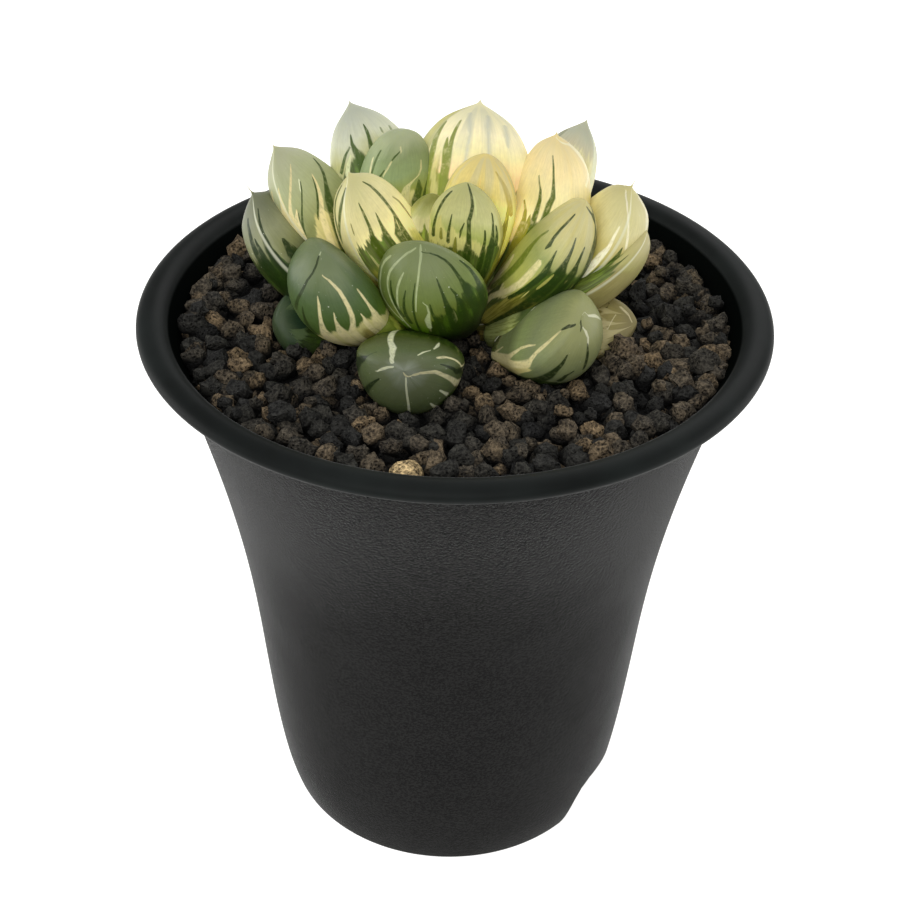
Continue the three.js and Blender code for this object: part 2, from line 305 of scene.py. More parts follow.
def pull_ring(old, new):
    move = (0, new.y - old.y, new.z - old.z)
    bpy.ops.mesh.extrude_region_move(TRANSFORM_OT_translate={"value": move})
    lean_ring(new, -old.lean)
    size = (new.half_width / old.half_width, new.half_depth / old.half_depth, 1)
    bpy.ops.transform.resize(value=size, center_override=(0, new.y, new.z))
    lean_ring(new, new.lean)


def draw_shape(name, sides, rings):
    shape = start_shape(name, sides, rings[0])
    for old, new in zip(rings, rings[1:]):
        pull_ring(old, new)
    bpy.ops.mesh.select_all(action="SELECT")
    bpy.ops.mesh.normals_make_consistent(inside=False)
    bpy.ops.object.mode_set(mode="OBJECT")
    return shape


def apply_modifier(piece, kind, **settings):
    bpy.ops.object.select_all(action="DESELECT")
    piece.select_set(True)
    bpy.context.view_layer.objects.active = piece
    modifier = piece.modifiers.new(kind.lower(), kind)
    for key, value in settings.items():
        setattr(modifier, key, value)
    bpy.ops.object.modifier_apply(modifier=modifier.name)


def round_off(piece, levels):
    apply_modifier(piece, "SUBSURF", levels=levels, render_levels=levels)
    bpy.ops.object.shade_smooth()


def finish_piece(piece, nodes, slot, material):
    piece.data.materials.clear()
    piece.data.materials.append(material)
    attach(piece, "root")
    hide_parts(*nodes)
    print(piece.name, "has", len(piece.data.polygons), "faces")


# %% [markdown]
# ## Pot
# The pot is moulded in thin black plastic: a tall body that flares under a rounded lip, a raised floor
# with drain holes, and arched notches in the skirt below it. It could be spun from a profile; pulling
# one ring from the middle of the floor, down the skirt, up the wall, over the lip and back down inside
# gives the same closed wall and keeps each height in sight.

# %% The pot's wall
POT_SIDES = 72
LIP_MIDDLE = (35.5, 70.95)
LIP_REACH = (2.0, 1.2)
LIP_DEGREES = (-150, -115, -80, -45, -15, 15, 45, 75, 100)
UNDERSIDE = [
    (0.4, 7.2), (10, 7.2), (21.0, 7.2), (21.45, 7.0), (21.3, 6.4), (20.7, 3.0), (20.3, 0.5), (20.35, 0.0),
]
OUTSIDE = [
    (21.3, 0.0), (21.42, 0.35), (22.35, 3.5), (23.35, 10.0), (24.0, 16.0), (24.6, 22.0), (25.2, 28.5),
    (26.1, 36.0), (27.35, 43.5), (28.9, 51.0), (30.5, 57.5), (31.9, 62.8), (32.75, 66.2), (33.35, 68.6),
]
INSIDE = [
    (34.2, 71.75), (33.5, 70.8), (32.9, 69.8), (32.2, 68.2), (31.2, 64.0), (29.5, 57.5), (27.8, 51.0),
    (26.25, 43.5), (25.0, 36.0), (23.5, 22.0), (22.3, 10.5), (22.1, 8.9), (21.6, 8.6), (10, 8.6), (0.4, 8.6),
]


def lip_points():
    """The rounded lip, as points on an ellipse from its underside round the outer edge to its top."""
    (middle, height), (out, up) = LIP_MIDDLE, LIP_REACH
    angles = [math.radians(degrees) for degrees in LIP_DEGREES]
    return [(middle + out * math.cos(angle), height + up * math.sin(angle)) for angle in angles]


def round_rings(points):
    """Level round rings from pairs of a radius and a height in millimetres."""
    return [Ring(radius * MM, radius * MM, 0, height * MM, 0) for radius, height in points]


pot = draw_shape("pot_body", POT_SIDES, round_rings(UNDERSIDE + OUTSIDE + lip_points() + INSIDE))
round_off(pot, 2)
print("the pot's rim is", round(pot.dimensions.x / MM, 2), "mm wide")

# %% [markdown]
# The drain holes and the notches are cut last. Each cutter is a short cylinder, or a leaning arch that
# is extruded to a bar, and a Boolean modifier takes it away.

# %% Drain holes and notches
FLOOR_MIDDLE = 7.9
DRILL_LENGTH = 4
MIDDLE_HOLE = 4.0
HOLE = 2.2
HOLES = 6
HOLES_FROM_AXIS = 12
NOTCH_TURNS = (-22, 158)
NOTCH_FROM_AXIS = 13
NOTCH_LENGTH = 14
NOTCH_POINTS = [
    (-8.3, -1.0), (-8.3, 0.0), (-7.6, 1.0), (-7.0, 4.0), (-6.2, 5.7), (-4.6, 6.5), (-2.2, 6.4), (0.5, 5.9),
    (3.1, 5.0), (5.3, 3.9), (7.0, 2.4), (8.0, 1.0), (8.3, 0.0), (8.3, -1.0),
]


def cut_away(piece, cutter):
    apply_modifier(piece, "BOOLEAN", operation="DIFFERENCE", object=cutter, solver="EXACT")
    bpy.data.objects.remove(cutter)


def drill(x, y, radius):
    place = (x * MM, y * MM, FLOOR_MIDDLE * MM)
    bpy.ops.object.select_all(action="DESELECT")
    bpy.ops.mesh.primitive_cylinder_add(
        vertices=32, radius=radius * MM, depth=DRILL_LENGTH * MM, location=place)
    cut_away(pot, bpy.context.object)


def cut_notch(turn):
    bpy.ops.object.select_all(action="DESELECT")
    bpy.ops.mesh.primitive_circle_add(vertices=len(NOTCH_POINTS), radius=1, fill_type="NGON")
    bar = bpy.context.object
    for vertex, (across, up) in zip(bar.data.vertices, NOTCH_POINTS):
        vertex.co = (across * MM, up * MM, 0)
    bpy.ops.object.mode_set(mode="EDIT")
    bpy.ops.mesh.select_all(action="SELECT")
    bpy.ops.mesh.extrude_region_move(TRANSFORM_OT_translate={"value": (0, 0, NOTCH_LENGTH * MM)})
    bpy.ops.mesh.select_all(action="SELECT")
    bpy.ops.mesh.normals_make_consistent(inside=False)
    bpy.ops.object.mode_set(mode="OBJECT")
    stand_up = Matrix.Rotation(math.radians(90), 4, "Z") @ Matrix.Rotation(math.radians(90), 4, "X")
    outward = Matrix.Translation((NOTCH_FROM_AXIS * MM, 0, 0))
    bar.matrix_world = Matrix.Rotation(math.radians(turn), 4, "Z") @ outward @ stand_up
    cut_away(pot, bar)


drill(0, 0, MIDDLE_HOLE)
for step in range(HOLES):
    turn = math.radians(360 / HOLES * step)
    drill(HOLES_FROM_AXIS * math.cos(turn), HOLES_FROM_AXIS * math.sin(turn), HOLE)
for turn in NOTCH_TURNS:
    cut_notch(turn)
bpy.ops.object.shade_smooth_by_angle(angle=math.radians(40))
print("the pot has", len(pot.data.vertices), "points")

# %% [markdown]
# The body is finely frosted: seen close, it is a dense black and grey speckle, and higher up the speckle
# is painted lighter, a painted sheen. The lip is smooth and satin, and the wall that shows above the
# grit gets painted shade, a near-black finish with no gloss. Masks from the height and the distance
# from the axis tell the three apart.

# %% Black plastic
LIP_FROM = (68.2, 69.4)
FROST_AND_SHEEN_HEIGHTS = (36, 62)
WELL_BOTTOM = (66.0, 66.4)
WELL_TOP = (70.9, 71.3)
WELL_RADIUS = (32.42, 32.66)
WELL_FLARE = 0.28


def pot_plastic():
    paint = Finish("pot_black_plastic")
    place = paint.place()
    x, y, z = paint.parts(place)
    height = z / MM
    body = 1 - height.within(*LIP_FROM)
    speck = paint.noise(place, 3200, 3.0, 0.7)
    dust = paint.noise(place, 90, 3.0, 0.6)
    # Higher up the speckle's grey is painted lighter, a painted sheen, and its bump and roughness vary more.
    high = height.within(*FROST_AND_SHEEN_HEIGHTS)
    grey = speck.within(0.42, 0.58) * (0.32 + high * 0.28)
    frosted = paint.ramp(grey, [(0.0, "#000000"), (0.5, "#232322"), (1.0, "#3d3d3c")])
    satin = paint.ramp(dust, [(0.35, "#0c0f0e"), (0.65, "#151918")])
    shade = paint.mix(satin, frosted, body)
    from_axis = (x * x + y * y) ** 0.5 / MM
    # Inside the rim, above the grit, the wall gets painted shade: a near-black finish with no gloss, mixed in
    # by this mask.
    drawn_in = from_axis - (height - 66.5) * WELL_FLARE
    inside = 1 - drawn_in.within(*WELL_RADIUS)
    inside = inside * height.within(*WELL_BOTTOM) * (1 - height.within(*WELL_TOP))
    rough = 0.5 + body * 0.12 + (dust - 0.5) * 0.2 + (speck - 0.5) * body * (0.4 + high * 0.4)
    relief = paint.bump(speck * body * (0.2 + high * 0.6) + dust * 0.2, 0.0005, 0.8)
    sides = {
        "Base Color": shade, "Roughness": rough, "Normal": relief, "IOR": 1.18,
        "Sheen Weight": 0.18, "Sheen Roughness": 0.2,
    }
    painted_well_shade = {"Base Color": tint("#060807"), "Roughness": 0.9, "Specular IOR Level": 0.0}
    return paint.surface(sides, painted_well_shade, inside)


finish_piece(pot, ["pot"], "pot_plastic", pot_plastic())

# %% [markdown]
# ## Leaves
# Each leaf leaves the crown at its root, points to its turn (0 is to the right, -90 is to the front)
# and leans so many degrees from upright. It is fat like a boat: flat on its inner face and deep on its
# outer one, widest past the middle, with a short bristle at its tip. The numbers are the same as in
# the solid model, so that every leaf lies where its solid does.

# %% The leaves' places and sizes
Leaf = namedtuple("Leaf", "root turn lean length width depth twist curl point bristle")
LEAVES = {
    "leaf_front_centre": Leaf((0.4, -2.2), -130, 27.5, 14.8, 13.1, 8.4, 14, 0.09, 0.57, 0.3),
    "leaf_left_centre": Leaf((-0.7, -0.5), 177, 33, 21, 10.0, 7.5, -33, 0.1, 0.66, 0.5),
    "leaf_heart": Leaf((-0.1, -1.0), 65, 11, 15.5, 9.4, 5.4, -1, 0.05, 0.69, 0.4),
    "leaf_right": Leaf((2.9, -0.2), 2, 38, 19, 12.1, 7.5, -2, 0.04, 0.66, 0.4),
    "leaf_front_left": Leaf((-7.7, -1.2), -141, 37.5, 15.4, 14.4, 9.1, -9, 0.12, 0.61, 0.3),
    "leaf_front_right": Leaf((5.0, -5.2), -35, 55.5, 13.6, 12.1, 8.4, 22, 0.12, 0.59, 0.3),
    "leaf_front_low": Leaf((-4.1, -3.8), -95, 70, 16.3, 12.2, 9.3, -3, 0.01, 0.6, 0.3),
    "leaf_back_centre": Leaf((-4.1, 4.1), 110, 19, 19, 11.2, 6.9, 30, 0.18, 0.51, 0.3),
    "leaf_heart_back": Leaf((0.3, 1.4), 58, 18.5, 17.8, 9.1, 5.8, 14, 0.11, 0.6, 0.3),
    "leaf_back_right": Leaf((3.8, 2.3), 40, 28, 21, 12.0, 7.9, -12, 0.18, 0.6, 0.5),
    "leaf_back_large": Leaf((-0.3, 2.5), 77.5, 33, 23.4, 14.7, 8.6, 4, 0.09, 0.6, 0.6),
    "leaf_back_left": Leaf((-2.2, 1.9), 129, 41, 25.8, 11.4, 7.1, -16, 0.08, 0.63, 0.6),
    "leaf_left_upper": Leaf((-3.6, 1.6), 162.5, 46, 25.6, 10.9, 6.9, -12, 0.08, 0.59, 0.6),
    "leaf_left_low": Leaf((-5.5, 1.2), 171.5, 53, 22.9, 12.3, 8.4, -1, 0.15, 0.57, 1.1),
    "leaf_right_outer": Leaf((3.9, 2.1), 6, 46.5, 22.2, 11.5, 8.5, 5, 0.19, 0.51, 1.1),
    "leaf_right_under": Leaf((1.5, 1.1), 2, 61, 23.4, 10.5, 6.8, 3, 0.09, 0.54, 0.4),
    "leaf_back_right_outer": Leaf((0.8, 1.7), 43, 47.5, 26.5, 10.3, 6.4, -1, 0.11, 0.62, 0.6),
    "leaf_right_old": Leaf((2.6, 0.3), -10, 82, 19, 9.6, 5.2, 28, 0.08, 0.61, 0.4),
    "leaf_left_old": Leaf((-5.9, 1.1), -160.5, 81, 16, 10.5, 6.6, -50, 0.18, 0.6, 0.3),
    "leaf_right_inner": Leaf((3.8, -1.9), -18, 60, 11.2, 10.0, 7.0, 0, 0.1, 0.6, 0.2),
    "leaf_left_inner": Leaf((-4.4, -3.4), -150, 50, 10, 8.0, 6.0, 0, 0.1, 0.6, 0.2),
    "leaf_heart_small": Leaf((-2.2, 2.2), 120, 8, 12.6, 7.0, 4.2, 0, 0.05, 0.62, 0.3),
    "leaf_back_side": Leaf((5.7, 4.0), 28, 64, 14.8, 10.0, 6.5, 0, 0.1, 0.6, 0.5),
    "leaf_back_low": Leaf((-2.2, 7.2), 95, 66, 14.8, 12.0, 7.5, 0, 0.1, 0.6, 0.5),
    "leaf_back_low_right": Leaf((2.3, 7.2), 62, 70, 15, 11.0, 7.0, 0, 0.1, 0.6, 0.5),
    "leaf_back_low_left": Leaf((-6.8, 6.1), 130, 68, 15, 11.5, 7.0, 0, 0.1, 0.6, 0.5),
}
WIDTH_SWELL = (0.46, 0.6, 1.3)
DEPTH_SWELL = (0.45, 0.55, 1.2)
ROOT_TOP = 72.0
ROOT_DROP = 3.2
FLATTEST = 80
INNER_SHARE = 0.28
LEAF_RINGS = 22
LEAF_SIDES = 36
LAST_SHARE = 0.985
TIP_BLUNT = ((0.0, 0.45), (0.05, 0.15), (0.1, 0.02))
TIP_POINTED = ((0.0, 0.45), (0.2, 0.22), (0.4, 0.09), (0.6, 0.02))
TIP_BRISTLED = ((0.0, 0.45), (0.2, 0.2), (0.5, 0.09), (1.0, 0.06), (1.5, 0.02))
POINTED = 0.45
BRISTLED = 1.0
CONE_FROM = 0.84
CONE_END = 1.03
BURIED = 66.9
print(len(LEAVES), "leaves")

# %% [markdown]
# A leaf is drawn upright with the ring helper. The first ring is squashed on its inner half and
# deepened on its outer half, and every later ring keeps that section. The last rings shrink to the
# bristle. Then the leaf is turned, leaned and set on its root.

# %% Drawing one leaf
def swell(share, at_root, widest, rise, point, pointed):
    """How wide the leaf is at a share of its length, as a share of its widest."""
    if share < widest:
        return at_root + (1 - at_root) * math.sin(math.pi / 2 * share / widest) ** rise
    onward = (share - widest) / (1 - widest)
    rounded = (1 - min(onward, CONE_FROM if pointed else 1) ** 2.1) ** point
    if pointed and onward > CONE_FROM:
        return rounded * (CONE_END - onward) / (CONE_END - CONE_FROM)
    return rounded


def leaf_ring(leaf, share):
    pointed = leaf.bristle > POINTED
    width = leaf.width / 2 * swell(share, *WIDTH_SWELL, leaf.point, pointed)
    depth = leaf.depth * swell(share, *DEPTH_SWELL, leaf.point - 0.05, pointed)
    sag = -2 * share * (1 - share) * leaf.curl * leaf.length
    lean = math.atan(2 * (1 - 2 * share) * leaf.curl)
    return Ring(width * MM, depth * MM, sag * MM, share * leaf.length * MM, lean)


def leaf_rings(leaf):
    shares = [LAST_SHARE * (1 - (1 - k / LEAF_RINGS) ** 1.35) for k in range(LEAF_RINGS + 1)]
    rings = [leaf_ring(leaf, share) for share in shares]
    tip = leaf_ring(leaf, 1.0)
    lean = tip.lean
    last = TIP_BRISTLED if leaf.bristle > BRISTLED else TIP_POINTED if leaf.bristle > POINTED else TIP_BLUNT
    for out, size in last:
        reach = out * MM
        y = tip.y + reach * math.sin(-lean)
        rings.append(Ring(size * MM, size * MM, y, tip.z + reach * math.cos(lean), lean))
        shares.append(1.0 + 0.01 * out)
    return rings, shares


def squash_section():
    """The inner half of the leaf is flat and the outer half is deep."""
    for inner, share in ((True, INNER_SHARE), (False, 1 - INNER_SHARE)):
        bpy.ops.mesh.select_all(action="DESELECT")
        bpy.ops.object.mode_set(mode="OBJECT")
        for point in bpy.context.object.data.vertices:
            point.select = point.co.y > 1e-9 if inner else point.co.y < -1e-9
        bpy.ops.object.mode_set(mode="EDIT")
        bpy.ops.transform.resize(value=(1, share, 1), center_override=(0, 0, 0))
    bpy.ops.mesh.select_all(action="SELECT")


def lay_uv(shape, rings, shares):
    """U runs once round the leaf, from its right edge over the inner face, and V from root to tip."""
    points = np.zeros(len(shape.data.vertices) * 3)
    shape.data.vertices.foreach_get("co", points)
    points = points.reshape(-1, 3)
    round_share = np.zeros(len(points))
    along_share = np.zeros(len(points))
    for k, ring in enumerate(rings):
        members = slice(k * LEAF_SIDES, (k + 1) * LEAF_SIDES)
        offset = points[members] - np.array([0, ring.y, ring.z])
        depth = offset[:, 1] * math.cos(ring.lean) + offset[:, 2] * math.sin(ring.lean)
        depth = depth / ring.half_depth / np.where(depth > 0, INNER_SHARE, 1 - INNER_SHARE)
        round_share[members] = np.arctan2(depth, offset[:, 0] / ring.half_width) / (2 * math.pi) % 1.0
        along_share[members] = shares[k]
    layer = shape.data.uv_layers.new(name="leaf_skin")
    for face in shape.data.polygons:
        corners = [shape.data.loops[i].vertex_index for i in face.loop_indices]
        around = [round_share[corner] for corner in corners]
        seam = max(around) - min(around) > 0.5
        for i, corner, turn in zip(face.loop_indices, corners, around):
            layer.data[i].uv = (turn + 1 if seam and turn < 0.5 else turn, along_share[corner])


def set_leaf(shape, leaf):
    x, y = leaf.root
    z = ROOT_TOP - ROOT_DROP * min(leaf.lean, FLATTEST) / FLATTEST
    turn = Matrix.Rotation(math.radians(leaf.turn), 4, "Z") @ Matrix.Rotation(math.radians(leaf.lean), 4, "Y")
    twist = Matrix.Rotation(math.radians(90 + leaf.twist), 4, "Z")
    shape.matrix_world = Matrix.Translation((x * MM, y * MM, z * MM)) @ turn @ twist
    bpy.ops.object.select_all(action="DESELECT")
    shape.select_set(True)
    bpy.context.view_layer.objects.active = shape
    bpy.ops.object.transform_apply(location=True, rotation=True, scale=True)


def cut_buried(shape):
    """What would lie deep in the grit is cut off flat."""
    if min(point.co.z for point in shape.data.vertices) > BURIED * MM:
        return
    bpy.ops.object.mode_set(mode="EDIT")
    bpy.ops.mesh.select_all(action="SELECT")
    bpy.ops.mesh.bisect(plane_co=(0, 0, BURIED * MM), plane_no=(0, 0, 1), clear_inner=True, use_fill=True)
    bpy.ops.object.mode_set(mode="OBJECT")


def draw_leaf(name, leaf):
    rings, shares = leaf_rings(leaf)
    shape = start_shape(name + "_skin", LEAF_SIDES, rings[0]._replace(y=0, z=0, lean=0))
    squash_section()
    lean_ring(rings[0], rings[0].lean)
    for old, new in zip(rings, rings[1:]):
        pull_ring(old, new)
    bpy.ops.mesh.select_all(action="SELECT")
    bpy.ops.mesh.normals_make_consistent(inside=False)
    bpy.ops.object.mode_set(mode="OBJECT")
    lay_uv(shape, rings, shares)
    set_leaf(shape, leaf)
    round_off(shape, 1)
    cut_buried(shape)
    return shape


leaf_pieces = {name: draw_leaf(name, leaf) for name, leaf in LEAVES.items()}
print("the longest leaf is", max(leaf.length for leaf in LEAVES.values()), "mm long")

# %% [markdown]
# ## Places traced in the photograph
# The stripes that the photograph shows are traced in it, as places in a picture 900 pixels wide
# and high. As in projection painting, a line of sight then goes from the camera through each place, and
# where it meets the leaf, the leaf's own chart is read. A place that falls just beside the leaf is drawn
# in towards the leaf's middle.

# %% From the picture to the leaf
PICTURE = 900
DRAWN_IN = 40
EYE = camera.matrix_world.translation.copy()
RIGHT, UP, BACK = (column.copy() for column in camera.matrix_world.to_3x3().col)
PIXEL = camera.data.sensor_width / camera.data.lens / PICTURE


def line_of_sight(x, y):
    """The way in which the camera looks through a place of the picture."""
    return (RIGHT * (x - PICTURE / 2) + UP * (PICTURE / 2 - y)) * PIXEL - BACK


def nearest_turn(around, known):
    """The same place round the leaf, counted so that it lies within half a turn of a known one."""
    return known + (around - known + 0.5) % 1.0 - 0.5


class Chart:
    """Reads how far round and how far along a leaf a place of the picture lies."""

    def __init__(self, piece):
        self.mesh = piece.data
        self.places = self.mesh.uv_layers["leaf_skin"].data
        corners = [point.co for point in self.mesh.vertices]
        self.tree = BVHTree.FromPolygons(corners, [list(face.vertices) for face in self.mesh.polygons])
        middle = sum(corners, Vector()) / len(corners) - EYE
        self.middle = middle / -middle.dot(BACK)

    def meet(self, way):
        spot, normal, number, distance = self.tree.ray_cast(EYE, way)
        if spot is None:
            return None
        face = self.mesh.polygons[number]
        shares = poly_3d_calc([self.mesh.vertices[corner].co for corner in face.vertices], spot)
        return sum((self.places[i].uv * share for i, share in zip(face.loop_indices, shares)), Vector((0, 0)))

    def find(self, x, y):
        """The place round and along the leaf, and the share of the way round that one pixel covers."""
        for step in range(DRAWN_IN):
            way = line_of_sight(x, y).lerp(self.middle, step / DRAWN_IN)
            place = self.meet(way)
            if place:
                return place[0], min(place[1], 1.0), self.spread(way, place[0])

    def spread(self, way, around):
        slopes = []
        for side in (RIGHT * PIXEL, UP * PIXEL):
            beside = [place for place in (self.meet(way - side), self.meet(way + side)) if place]
            turns = [abs(nearest_turn(place[0], around) - around) for place in beside]
            slopes.append(sum(turns) / max(len(turns), 1))
        return math.hypot(*slopes)


charts = {name: Chart(piece) for name, piece in leaf_pieces.items()}
print("the middle of the picture looks along", line_of_sight(PICTURE / 2, PICTURE / 2))

# %% [markdown]
# ## The leaves' colours
# Every leaf is striped: flames of cream and of dark green rise from its foot and end in points below
# the clear, grey green window near its tip. Going round the leaf, the top of the flames is like a
# skyline. So each colour is written as a skyline, a list of places round the leaf with the height that
# the colour reaches there, and a ramp holds it. Where a skin has a start, its skylines are drawn for the
# half of the leaf from there on, and the other half mirrors it. A slow noise makes the flames waver, and
# a fine one frays them. Under the flames lies the ground, whose shades run from the foot to the tip; they
# also hold painted light and shade, set leaf by leaf.

# %% What a skin is made of
Skin = namedtuple(
    "Skin", "ground cream cream_line green green_line foot foot_line start slant slits veil",
    defaults=(0.0, 0.0, 0.5, 0.0))
SHADES_AT = (0.48, 0.63, 0.75, 0.85, 0.95, 1.0)


def shades(*colours):
    return list(zip(SHADES_AT, colours))


def flat(height):
    """A skyline of one height all round."""
    return [(0.0, height), (1.0, height)]


SKINS = {}
print("a ground has up to", len(SHADES_AT), "shades")

# %% [markdown]
# The leaves in front are fat and green, with cream flames at the foot or dark ones on the side.

# %% Skins of the front
SKINS.update({
    "leaf_front_centre": Skin(
        ground=shades("#4b6c0a", "#5d6929", "#647337", "#6a7743", "#788356"),
        cream="#cfd1ad", cream_line=flat(0.3),
        green="#2c4013", green_line=[
            (0, 0.66), (0.05, 0.6), (0.5, 0.5), (0.6, 0.58), (0.7, 0.5), (0.77, 0.46), (0.97, 0.69),
            (0.98, 0.68), (1, 0.66)],
        foot="#22330c", foot_line=[(0, 0.45), (0.5, 0.3), (0.7, 0.3), (1, 0.5)],
        slits=0.3),
    "leaf_front_left": Skin(
        ground=shades("#5c7525", "#435824", "#485c31", "#4b5d38", "#6d7955"),
        cream="#d5cb98", cream_line=[(0, 0.61), (0.12, 0.45), (0.62, 0.3), (0.76, 0.42), (1, 0.61)],
        green="#42532f", green_line=flat(0.3),
        foot="#86783c", foot_line=[
            (0, 0.4), (0.12, 0.3), (0.8, 0.4), (0.92, 0.46), (0.955, 0.56), (0.975, 0.5), (1, 0.4)]),
    "leaf_front_right": Skin(
        ground=shades("#768151", "#717954", "#7c8459", "#84895b", "#989b68"),
        cream="#cfc38d", cream_line=[
            (0, 0.1), (0.4, 0.1), (0.415, 0.35), (0.425, 0.5), (0.44, 0.575), (0.49, 0.57), (0.505, 0.4),
            (0.53, 0.3), (1, 0.1)],
        green="#22330f", green_line=[
            (0, 0.1), (0.5, 0.1), (0.53, 0.45), (0.56, 0.58), (0.62, 0.62), (0.66, 0.6), (1, 0.1)],
        foot="#6c7a50", foot_line=flat(0),
        slits=0.2),
    "leaf_front_low": Skin(
        ground=shades("#54621f", "#3a451a", "#4b5433", "#515c39", "#5f6749", "#7d8471"),
        cream="#bfbc98", cream_line=flat(0.3),
        green="#2b3d18", green_line=[
            (0, 0.6), (0.1, 0.62), (0.3, 0.56), (0.5, 0.5), (0.75, 0.42), (0.84, 0.5), (0.87, 0.76),
            (0.92, 0.74), (0.94, 0.62), (1, 0.6)],
        foot="#1f2b12", foot_line=[(0, 0.5), (0.5, 0.4), (0.7, 0.3), (1, 0.5)],
        slits=0.2),
    # leaf_right_inner: all its colours are darkened as painted shade.
    "leaf_right_inner": Skin(
        ground=shades("#3e4825", "#506031", "#4b5c2e", "#485a2c", "#485a2c"),
        cream="#939c67", cream_line=[
            (0, 0.2), (0.3, 0.5), (0.36, 0.4), (0.5, 0.72), (0.6, 0.66), (0.75, 0.8), (1, 0.2)],
        green="#21390c", green_line=flat(0.1),
        foot="#8e9664", foot_line=[(0, 0.4), (0.5, 0.55), (0.8, 0.6), (1, 0.4)],
        start=0.2),
    "leaf_left_inner": Skin(
        ground=shades("#576117", "#4c5b17", "#657027", "#6a752d", "#6f7b33"),
        cream="#8c9340", cream_line=[(0, 0.6), (0.1, 0.75), (0.2, 0.6), (1, 0.6)],
        green="#3f510b", green_line=[(0, 0.5), (0.1, 0.6), (0.15, 0.5), (1, 0.5)],
        foot="#3f4908", foot_line=flat(0),
        start=0.9),
})
print(len(SKINS), "skins so far")

# %% [markdown]
# The leaves of the heart stand upright between them. They are pale, with dark green flames.

# %% Skins of the heart
SKINS.update({
    "leaf_heart": Skin(
        ground=shades("#899a3b", "#a6ac5e", "#c4c387", "#bcba7f", "#b8b77b"),
        cream="#d3cb8d", cream_line=[
            (0, 0.8), (0.05, 0.75), (0.09, 0.62), (0.12, 0.58), (0.15, 0.74), (0.19, 0.6), (0.22, 0.68),
            (0.25, 0.62), (0.32, 0.6), (0.45, 0.55), (0.5, 0.75), (0.53, 0.85), (1, 0.8)],
        green="#3a5116", green_line=[(0, 0.4), (0.05, 0.46), (0.1, 0.5), (0.2, 0.48), (0.5, 0.5), (1, 0.4)],
        foot="#8f8d33", foot_line=[
            (0, 0.5), (0.2, 0.46), (0.3, 0.3), (0.44, 0.3), (0.5, 0.6), (0.53, 0.62), (1, 0.5)],
        start=0.02),
    "leaf_heart_small": Skin(
        ground=shades("#c1ba82", "#d4cb92", "#eee2a8", "#c3c27f", "#999a52"),
        cream="#e2dab0", cream_line=[(0, 0.8), (0.1, 0.85), (0.2, 0.8), (1, 0.8)],
        green="#6d7a35", green_line=[
            (0, 0.5), (0.15, 0.68), (0.18, 0.78), (0.2, 0.68), (0.25, 0.5), (1, 0.5)],
        foot="#7c8240", foot_line=flat(0.4)),
    "leaf_heart_back": Skin(
        ground=shades("#fff17b", "#fffa9c", "#e6d483", "#e6d387", "#e1ce85"),
        cream="#e9cf8a", cream_line=[(0, 0.3), (0.2, 0.3), (0.25, 0.9), (0.3, 0.3), (1, 0.3)],
        green="#a99c48", green_line=[
            (0, 0.5), (0.05, 0.66), (0.09, 0.5), (0.13, 0.4), (0.38, 0.4), (0.4, 0.66), (0.415, 0.8),
            (0.43, 0.5), (0.45, 0.35), (0.55, 0.4), (1, 0.5)],
        foot="#9a9a42", foot_line=[(0, 0.3), (0.45, 0.3), (0.52, 0.4), (1, 0.3)],
        start=0.02, slits=0.2, veil=0.3),
    "leaf_left_centre": Skin(
        ground=shades("#efe59c", "#feefa5", "#ddd297", "#d7ce95", "#d0ca92"),
        cream="#f0e8c6", cream_line=flat(0.3),
        green="#3c5516", green_line=[
            (0, 0.5), (0.01, 0.6), (0.2, 0.64), (0.21, 0.61), (0.22, 0.5), (0.24, 0.3), (0.93, 0.3),
            (1, 0.5)],
        foot="#b7b04c", foot_line=[(0, 0.52), (0.1, 0.5), (0.3, 0.52), (0.42, 0.5), (1, 0.5)],
        start=0.93),
    "leaf_right": Skin(
        ground=shades("#a0a352", "#8b9255", "#b1ae72", "#c3ba7b", "#d0c688"),
        cream="#ddd3a0", cream_line=flat(0.3),
        green="#2c4310", green_line=[
            (0, 0.1), (0.25, 0.1), (0.3, 0.3), (0.36, 0.22), (0.4, 0.25), (0.43, 0.35), (0.445, 0.5),
            (0.46, 0.6), (0.69, 0.7), (1, 0.1)],
        foot="#a39b4c", foot_line=[
            (0, 0), (0.38, 0.1), (0.42, 0.3), (0.46, 0.42), (0.5, 0.36), (0.55, 0.42), (0.6, 0.25), (1, 0)],
        start=0.18, slits=0.9, veil=0.15),
    "leaf_back_centre": Skin(
        ground=shades("#87914e", "#979e4e", "#93a575", "#8b9a6c", "#aab28a"),
        cream="#d9d2a2", cream_line=[
            (0, 0.3), (0.19, 0.5), (0.2, 0.6), (0.24, 0.66), (0.26, 0.6), (0.3, 0.5), (0.36, 0.4), (1, 0.3)],
        green="#4d6324", green_line=[
            (0, 0.3), (0.26, 0.5), (0.28, 0.6), (0.31, 0.55), (0.34, 0.62), (0.36, 0.6), (0.9, 0.6),
            (1, 0.3)],
        foot="#6b7c3c", foot_line=flat(0),
        start=0.9),
})
print(len(SKINS), "skins so far")
